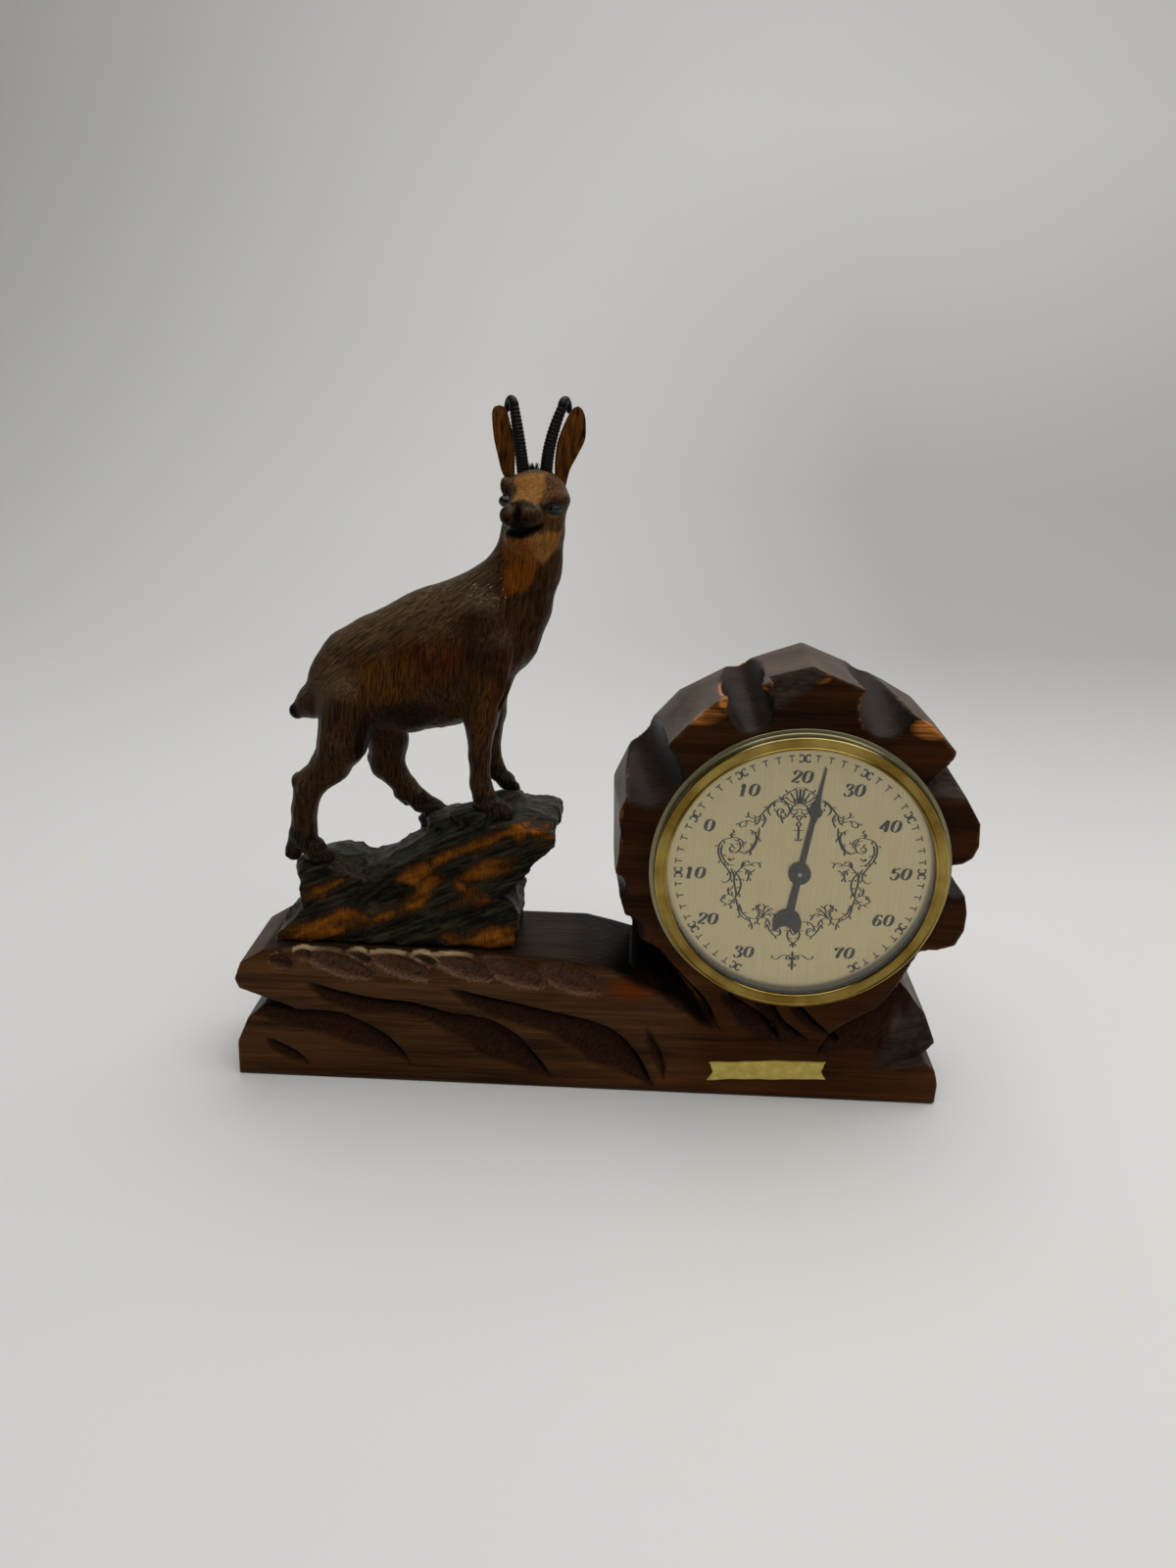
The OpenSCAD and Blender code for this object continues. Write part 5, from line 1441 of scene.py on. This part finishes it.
# The garland's left half in millimetres from the dial's centre: strokes as points, mirrored to the right
GARLAND = [
    [(-4.4, 12.8), (-4.9, 14.3), (-3.9, 14.4), (-3.0, 15.8), (-3.5, 17.5), (-4.6, 18.4)],
    [(-3.9, 14.4), (-5.2, 14.4), (-5.9, 15.5), (-5.6, 16.5), (-4.8, 16.5), (-4.3, 15.8), (-4.9, 15.5)],
    [(-4.2, 19.3), (-6.2, 18.7), (-7.7, 17.5), (-9, 15.8), (-10, 14.7), (-11.2, 14.1), (-12.4, 14.4),
     (-12.8, 15.5), (-12.2, 15.7)],
    [(-4, 18.1), (-5.6, 18.4), (-6.9, 17.9), (-8, 16.7), (-7.9, 15.5), (-7.2, 14.8)],
    [(-9.2, 15.2), (-8.6, 13.8), (-9.4, 11.8)],
    [(-9.7, 14.7), (-10.2, 13.2), (-11.2, 12.3)],
    [(-10.2, 12.6), (-11.5, 13.2), (-13.1, 13.5), (-14.6, 12.8), (-14.4, 11.9), (-13.6, 12),
     (-12.9, 12.6)],
    [(-12.5, 11.2), (-11.2, 10.6), (-10.6, 9.2), (-11.1, 7.4), (-12.1, 6), (-13.4, 5.2), (-14.4, 5.4)],
    [(-10, 11.8), (-10.1, 9.8), (-10.8, 7.4), (-11.8, 5.7), (-13.4, 4.9)],
    [(-15.4, 6.2), (-16.2, 6.9), (-16.9, 6.2), (-16.3, 5.3), (-15.1, 5.4), (-14.3, 6.6), (-14.6, 8.1),
     (-16, 8.6)],
    [(-13.7, 6.5), (-13.9, 8.3), (-15.2, 9.1), (-16.5, 9.1), (-18.4, 8.5), (-19.4, 7.1), (-19.5, 5),
     (-18.7, 3), (-17.4, 1.2), (-16.5, -0.3), (-16.5, -1.5), (-17.3, -2.4), (-18.2, -2.7), (-18.6, -2.1)],
    [(-16.2, 9.1), (-16.6, 10), (-15.9, 10.6), (-16.3, 11.2)],
    [(-18.6, 7.4), (-18.9, 5.4), (-18.1, 3.4), (-16.9, 2.2), (-15.5, 1.9)],
    [(-15.6, 3.9), (-16.6, 3.2), (-17.2, 3.8)],
    [(-15.4, -0.4), (-14.6, 0.6), (-13.3, 1.8), (-12, 2.1), (-10.7, 2.7), (-9.6, 2.2), (-9.4, 1.3)],
    [(-13.9, 1.2), (-13.6, 2.7), (-12.5, 3.1), (-12, 2.5)],
    [(-13.3, 1.2), (-12.3, 0.2), (-12.1, -1), (-12.6, -2.3)],
    [(-12.6, 0.8), (-11.4, 0.3), (-10.6, 0.9)],
    [(-16.5, 1.2), (-15.7, -0.6), (-15.5, -2.9), (-15, -5.3), (-15.1, -6.5)],
    [(-15.7, 0.6), (-14.4, -1.2), (-13.9, -3.2), (-14.4, -5.2), (-15.1, -6.5)],
    [(-15.1, -6.5), (-16.6, -5.8), (-18, -6.1), (-18.4, -6.9), (-18.8, -7.5)],
    [(-15.2, -6.7), (-16, -7.8), (-16.8, -8.4), (-18.2, -7.8), (-18.8, -7.2)],
    [(-16.6, -5.8), (-17, -4.8), (-16.8, -3.9)],
    [(-16.8, -8.4), (-16.1, -8.9), (-16.3, -9.6)],
    [(-15.1, -6.5), (-14.5, -8.9), (-13.9, -11.1), (-12.6, -12.3), (-11.5, -12.9), (-10.9, -14.1),
     (-11, -15.2)],
    [(-14.2, -8.2), (-13.4, -10.6), (-12, -11.8), (-10.4, -12.2), (-8.2, -11.9)],
    [(-8.4, -11), (-9.3, -10.4), (-9.1, -11.6), (-8.2, -11.6), (-8.2, -10.4), (-9.2, -10)],
    [(-9.2, -10.2), (-10.4, -9.4), (-10.9, -10.1)],
    [(-8.9, -10), (-9.8, -8.9), (-9, -8.2)],
    [(-8.3, -10.1), (-7.9, -8.9), (-8.6, -8.2)],
    [(-7.9, -10.7), (-6.6, -9.4), (-6, -9.8)],
    [(-7.9, -11.3), (-6.4, -10.7), (-5.4, -11.2), (-4.6, -12.6)],
    [(-8.2, -11.9), (-7.2, -12.4), (-6.6, -13.6), (-7.4, -14.2)],
    [(-9.4, -12), (-9.6, -13.2), (-8.9, -13.9)],
    [(-8.2, -13.3), (-7.2, -13.9), (-6.5, -15.4), (-5.2, -16.8), (-4, -16.4), (-4, -15.1), (-4.8, -14.7),
     (-5.4, -15.4)],
    [(-1.2, -13.6), (-2.5, -13), (-4.1, -13), (-5.3, -13.9), (-5.9, -15.4)],
    [(-0.9, -15.2), (-2.1, -15.8), (-1.9, -17.7), (-0.8, -18.8), (-0.75, -20)],
    [(-0.8, -12.2), (-1.7, -11.4), (-1.2, -10.5), (-0.7, -10.3)],
    [(-0.8, -13.8), (-1.6, -15), (-0.8, -16.6)],
    [(-0.7, 8.4), (-0.75, 12.0)],
    [(-0.7, 12.0), (-1.2, 12.6), (-0.7, 13.4)],
    [(-0.8, 11.1), (-1.9, 11.1)],
    [(-1, 15.9), (-2.3, 14.4), (-1.5, 14.6), (-0.8, 13.6)],
    [(-2.2, 17.4), (-2.6, 16.5), (-1.5, 16.2), (-0.8, 16.6)],
    [(-0.8, 17.4), (-2.8, 17.6), (-4.7, 19), (-4.4, 20), (-3.6, 20.3), (-3.3, 20.9), (-2.4, 21.2),
     (-1.9, 21.7), (-0.75, 21.9)],
    [(-1, 17.8), (-2.6, 18.3), (-4.2, 19.6)],
    [(-0.9, 17.9), (-2.2, 19.3), (-3, 20.6)],
    [(-0.8, 17.9), (-1.4, 19.8), (-1.6, 21.3)],
    [(-0.75, 17.9), (-0.75, 21.6)],
    [(-0.4, -23.9), (-0.9, -23.2), (-1.6, -22.4), (-3, -22.1), (-4.6, -23.2), (-5.8, -22.7),
     (-5.3, -22.2)],
    [(-0.5, -21.9), (-1.8, -22.3), (-2.2, -23.1), (-1.3, -23.3), (-1.4, -22.7)],
    [(-0.5, -25.4), (-1.5, -24.9), (-0.5, -24.1)],
    [(-0.68, -26.2), (-0.68, -21)],
]
MAJOR_MARK = [(-1.35, 0.6), (-0.9, 0.95), (-0.3, 0.6), (-0.12, 0), (-0.3, -0.6), (-0.9, -0.95), (-1.35, -0.6)]


def pen_stroke(points, thin, thick, slant=0.0, count=28):
    """Left and right edges of a pen stroke along a curve: its width grows from thin where it runs level to
    thick where it runs along the slant, and narrows to under half at both ends."""
    line = rounded_line(points, count) if len(points) > 2 else np.linspace(points[0], points[1], count)
    ahead = np.gradient(line, axis=0)
    ahead /= np.linalg.norm(ahead, axis=1, keepdims=True) + 1e-9
    upright = np.abs(ahead @ np.array([np.sin(slant), np.cos(slant)]))
    share = np.linspace(0, 1, count)
    width = (thin + (thick - thin) * upright**2.2) * np.clip(np.minimum(share, 1 - share) * 9 + 0.45, 0, 1)
    across = np.stack([-ahead[:, 1], ahead[:, 0]], axis=1) * width[:, None] / 2
    return line + across, line - across


def dot(middle, r, count=14):
    """Left and right edges of a round dot."""
    turn = np.linspace(0, np.pi, count)
    over = np.stack([-np.cos(turn), np.sin(turn)], axis=1) * r
    return np.array(middle) + over, np.array(middle) + over * (1, -1)


def in_numeral(middle, left, a, b):
    """A place in a numeral's box, which leans by the slant and starts a share of its height
    left of the middle."""
    return middle + NUMERAL_HEIGHT * np.array([a + left + NUMERAL_SLANT * (b - 0.5), b - 0.5])


strokes = []
for reading in READINGS:
    angle = np.radians(90 - (reading - TOP_READING) * DEGREES_PER_UNIT)
    outwards = np.array([np.cos(angle), np.sin(angle)])
    sideways = np.array([outwards[1], -outwards[0]])
    if reading % 10:
        bars = [(0, 0.85), (0, -0.8)], [(-0.72, 0.78), (0.72, 0.78)]
        shapes = [pen_stroke(bar, 0.3, 0.3) for bar in bars]
    else:
        mirrored = [(-a, b) for a, b in MAJOR_MARK]
        shapes = [pen_stroke(MAJOR_MARK, 0.3, 0.6), pen_stroke(mirrored, 0.3, 0.6)]
        shapes += [dot((s * 1.1, t * 0.55), 0.17) for s in (-1, 1) for t in (-1, 1)]
        text = str(abs(reading))
        middle = outwards * NUMERAL_R + (-0.45, 0)
        for k, digit in enumerate(text):
            lines, dots = NUMERALS[digit]
            left = (k - len(text) / 2) * NUMERAL_WIDTH + 0.06
            for line in lines:
                drawn = [in_numeral(middle, left, a, b) for a, b in line]
                strokes.append(pen_stroke(drawn, 0.24, 0.9, NUMERAL_SLANT))
            strokes += [dot(in_numeral(middle, left, a, b), 0.3) for a, b in dots]
    mark_axes = np.stack([sideways, outwards])
    strokes += [tuple(edge @ mark_axes + outwards * MARK_R for edge in shape) for shape in shapes]
for line in GARLAND:
    drawn = [pen_stroke(line, 0.2, 0.5)]
    curve = rounded_line(line, 60) if len(line) > 2 else np.array(line, float)
    length = np.linalg.norm(np.diff(curve, axis=0), axis=1).sum()
    for k in range(int(length / LEAFLET_EVERY) if line[0][1] > -20 else 0):
        i = int((k + 0.6) * LEAFLET_EVERY / length * (len(curve) - 1))
        ahead = curve[i + 1] - curve[i]
        ahead /= np.linalg.norm(ahead)
        side = np.array([-ahead[1], ahead[0]]) * (1 if k % 2 else -1)
        tip = curve[i] + LEAFLET * (0.8 * side + 0.55 * ahead)
        bent = curve[i] + LEAFLET * (0.55 * side + 0.1 * ahead)
        drawn.append(pen_stroke([curve[i], bent, tip], 0.2, 0.42))
    strokes += drawn
    strokes += [tuple(edge * (-1, 1) + (2 * GARLAND_MIDDLE, 0) for edge in shape[::-1]) for shape in drawn]

edges = [np.stack([left, right], axis=1).reshape(-1, 2) for left, right in strokes]
starts = np.cumsum([0] + [len(edge) for edge in edges])
faces = np.concatenate([grid_faces(len(edge) // 2, 2) + start for edge, start in zip(edges, starts)])
flat = np.concatenate(edges)
c, s = np.cos(np.radians(DIAL_TURN)), np.sin(np.radians(DIAL_TURN))
print_x, print_z = flat @ np.array([c, -s]), flat @ np.array([s, c])
print_points = np.stack(
    [DIAL_X + print_x, np.full(len(flat), FACE_Y - PRINT_HEIGHT), DIAL_Z + print_z], axis=1
)
print_ink, tree, base = mottled("black_printing_ink", 2500.0, 2.0, (0.45, 0.8), "#0b0a08", "#2a271e")
surface(tree, base, 0.55)
dial_print = mesh_piece("dial_print", print_points, faces, print_ink, smooth=False)
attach(dial_print, "root")

# Pointer
# Stamped from thin sheet steel and dipped in dark purple-brown lacquer: a needle with a leaf, a hub pressed
# on the spindle, and a tail with a crescent that balances it.
HAND_BACK = 1.0
HAND_THICK = 0.3
HUB_R = 2.7
READING = 23.5
CRESCENT = (-13.4, 3.5)
BITE = (-16.4, 2.3)
hand_angle = np.radians((READING - TOP_READING) * DEGREES_PER_UNIT - DIAL_TURN)


def on_hand(x, up, height):
    """A place on the hand, given across it, along it from the spindle, and in front of the wood."""
    c, s = np.cos(hand_angle), np.sin(hand_angle)
    place = DIAL_X + x * c + up * s, FACE_Y - height, DIAL_Z - x * s + up * c
    return np.stack(np.broadcast_arrays(*place), axis=-1)


def sheet_strip(left, right, around=16):
    """A flat strip of the hand between two edges with rounded rims: across each pair of edge points an
    oval, squared off so that its faces are nearly flat."""
    turn = np.linspace(0, 2 * np.pi, around, endpoint=False)
    c, s = np.cos(turn), np.sin(turn)
    share = 0.5 - 0.5 * np.sign(c) * np.abs(c) ** 0.5
    height = HAND_BACK + HAND_THICK / 2 + HAND_THICK / 2 * np.sign(s) * np.abs(s) ** 0.5
    flat = left[:, None] * (1 - share)[None, :, None] + right[:, None] * share[None, :, None]
    points = on_hand(flat[..., 0], flat[..., 1], height[None, :])
    faces = closed_ends(grid_faces(len(left), around, closed_columns=True), len(left), around)
    return points.reshape(-1, 3), faces


lacquer = 700.0, 2.0, (0.4, 0.7), "#1e1212", "#35201e"
hand_lacquer, tree, base = mottled("purple_brown_lacquered_steel", *lacquer)
surface(tree, base, 0.35, Specular_IOR_Level=0.25)

# Half widths of the needle and the tail at places along them from the spindle
NEEDLE = ((0, 2.7, 14.2, 15.6, 17.4, 19.6, 21, 27.4), (0.72, 0.7, 0.58, 1.2, 1.05, 0.5, 0.42, 0.16))
TAIL_PIECE = ((0, 11.5), (0.7, 0.98))
up = np.linspace(0, NEEDLE[0][-1], 90)
half = np.interp(up, *NEEDLE)
needle = sheet_strip(np.stack([-half, up], axis=1), np.stack([half, up], axis=1))
down = np.linspace(0, TAIL_PIECE[0][-1], 24)
half = np.interp(down, *TAIL_PIECE)
tail = sheet_strip(np.stack([-half, -down], axis=1), np.stack([half, -down], axis=1))
gap = BITE[0] - CRESCENT[0]
horn_turn = np.arccos((gap**2 + CRESCENT[1] ** 2 - BITE[1] ** 2) / (2 * abs(gap) * CRESCENT[1])) + 0.02
outer_turn = np.linspace(horn_turn, 2 * np.pi - horn_turn, 48) - np.pi / 2
tip = np.array([np.cos(outer_turn[0]) * CRESCENT[1], np.sin(outer_turn[0]) * CRESCENT[1] - gap])
tip_turn = np.arctan2(tip[1], tip[0])
inner_turn = np.linspace(tip_turn, np.pi - tip_turn, 48)
outer = np.stack([np.cos(outer_turn) * CRESCENT[1], np.sin(outer_turn) * CRESCENT[1] + CRESCENT[0]], axis=1)
inner = np.stack([np.cos(inner_turn) * BITE[1], np.sin(inner_turn) * BITE[1] + BITE[0]], axis=1)
crescent = sheet_strip(inner, outer)
hub_outline = [(0.05, 0), (HUB_R, 0), (HUB_R, HAND_THICK + 0.1), (0.05, HAND_THICK + 0.18)]
hub_outline = rounded_corners(hub_outline, 0.12)
turn = np.linspace(0, 2 * np.pi, 64, endpoint=False)
hub_points = on_dial(hub_outline[None, :, 0], turn[:, None], HAND_BACK - 0.02 + hub_outline[None, :, 1])
hub = (hub_points.reshape(-1, 3), grid_faces(64, len(hub_outline), True, True)[:, ::-1])
parts = {"hand_needle": needle, "hand_tail": tail, "hand_crescent": crescent, "hand_hub": hub}
for name, (points, faces) in parts.items():
    part = mesh_piece(name, points, faces, hand_lacquer)
    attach(part, "pointer_works")
    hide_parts("pointer")

# Movement, cup and screws
# Plain stamped and turned metal parts behind the dial and under the rock, mostly out of sight.
METALS = {
    "tinned_sheet_steel": (
        "#a9a79f", 0.34, ["insert_cup", "bridge_rivets", "figure_screws", "pointer_arbor"],
    ),
    "plain_turned_brass": (
        "#b8954a", 0.28, ["pivot_bridge", "front_bushing", "rear_bushing", "coil_post", "coil_collet"],
    ),
    "heat_tinted_bimetal": ("#8f7f6a", 0.38, ["bimetal_coil"]),
    "olive_lacquered_spacer_steel": ("#4b4b3c", 0.5, ["dial_spacer"]),
}
for name, (code, rough, nodes) in METALS.items():
    metal, tree, place = new_material(name)
    scuff = add(tree, "TexNoise", {"Vector": place, "Scale": 600.0, "Detail": 3.0})
    scuffed = add(tree, "MapRange", {0: scuff, 1: 0.3, 2: 0.7, 3: rough - 0.06, 4: rough + 0.08})
    surface(tree, code, scuffed, Metallic=1.0)
    dress(nodes, metal)
dress(["pointer_collet"], hand_lacquer)
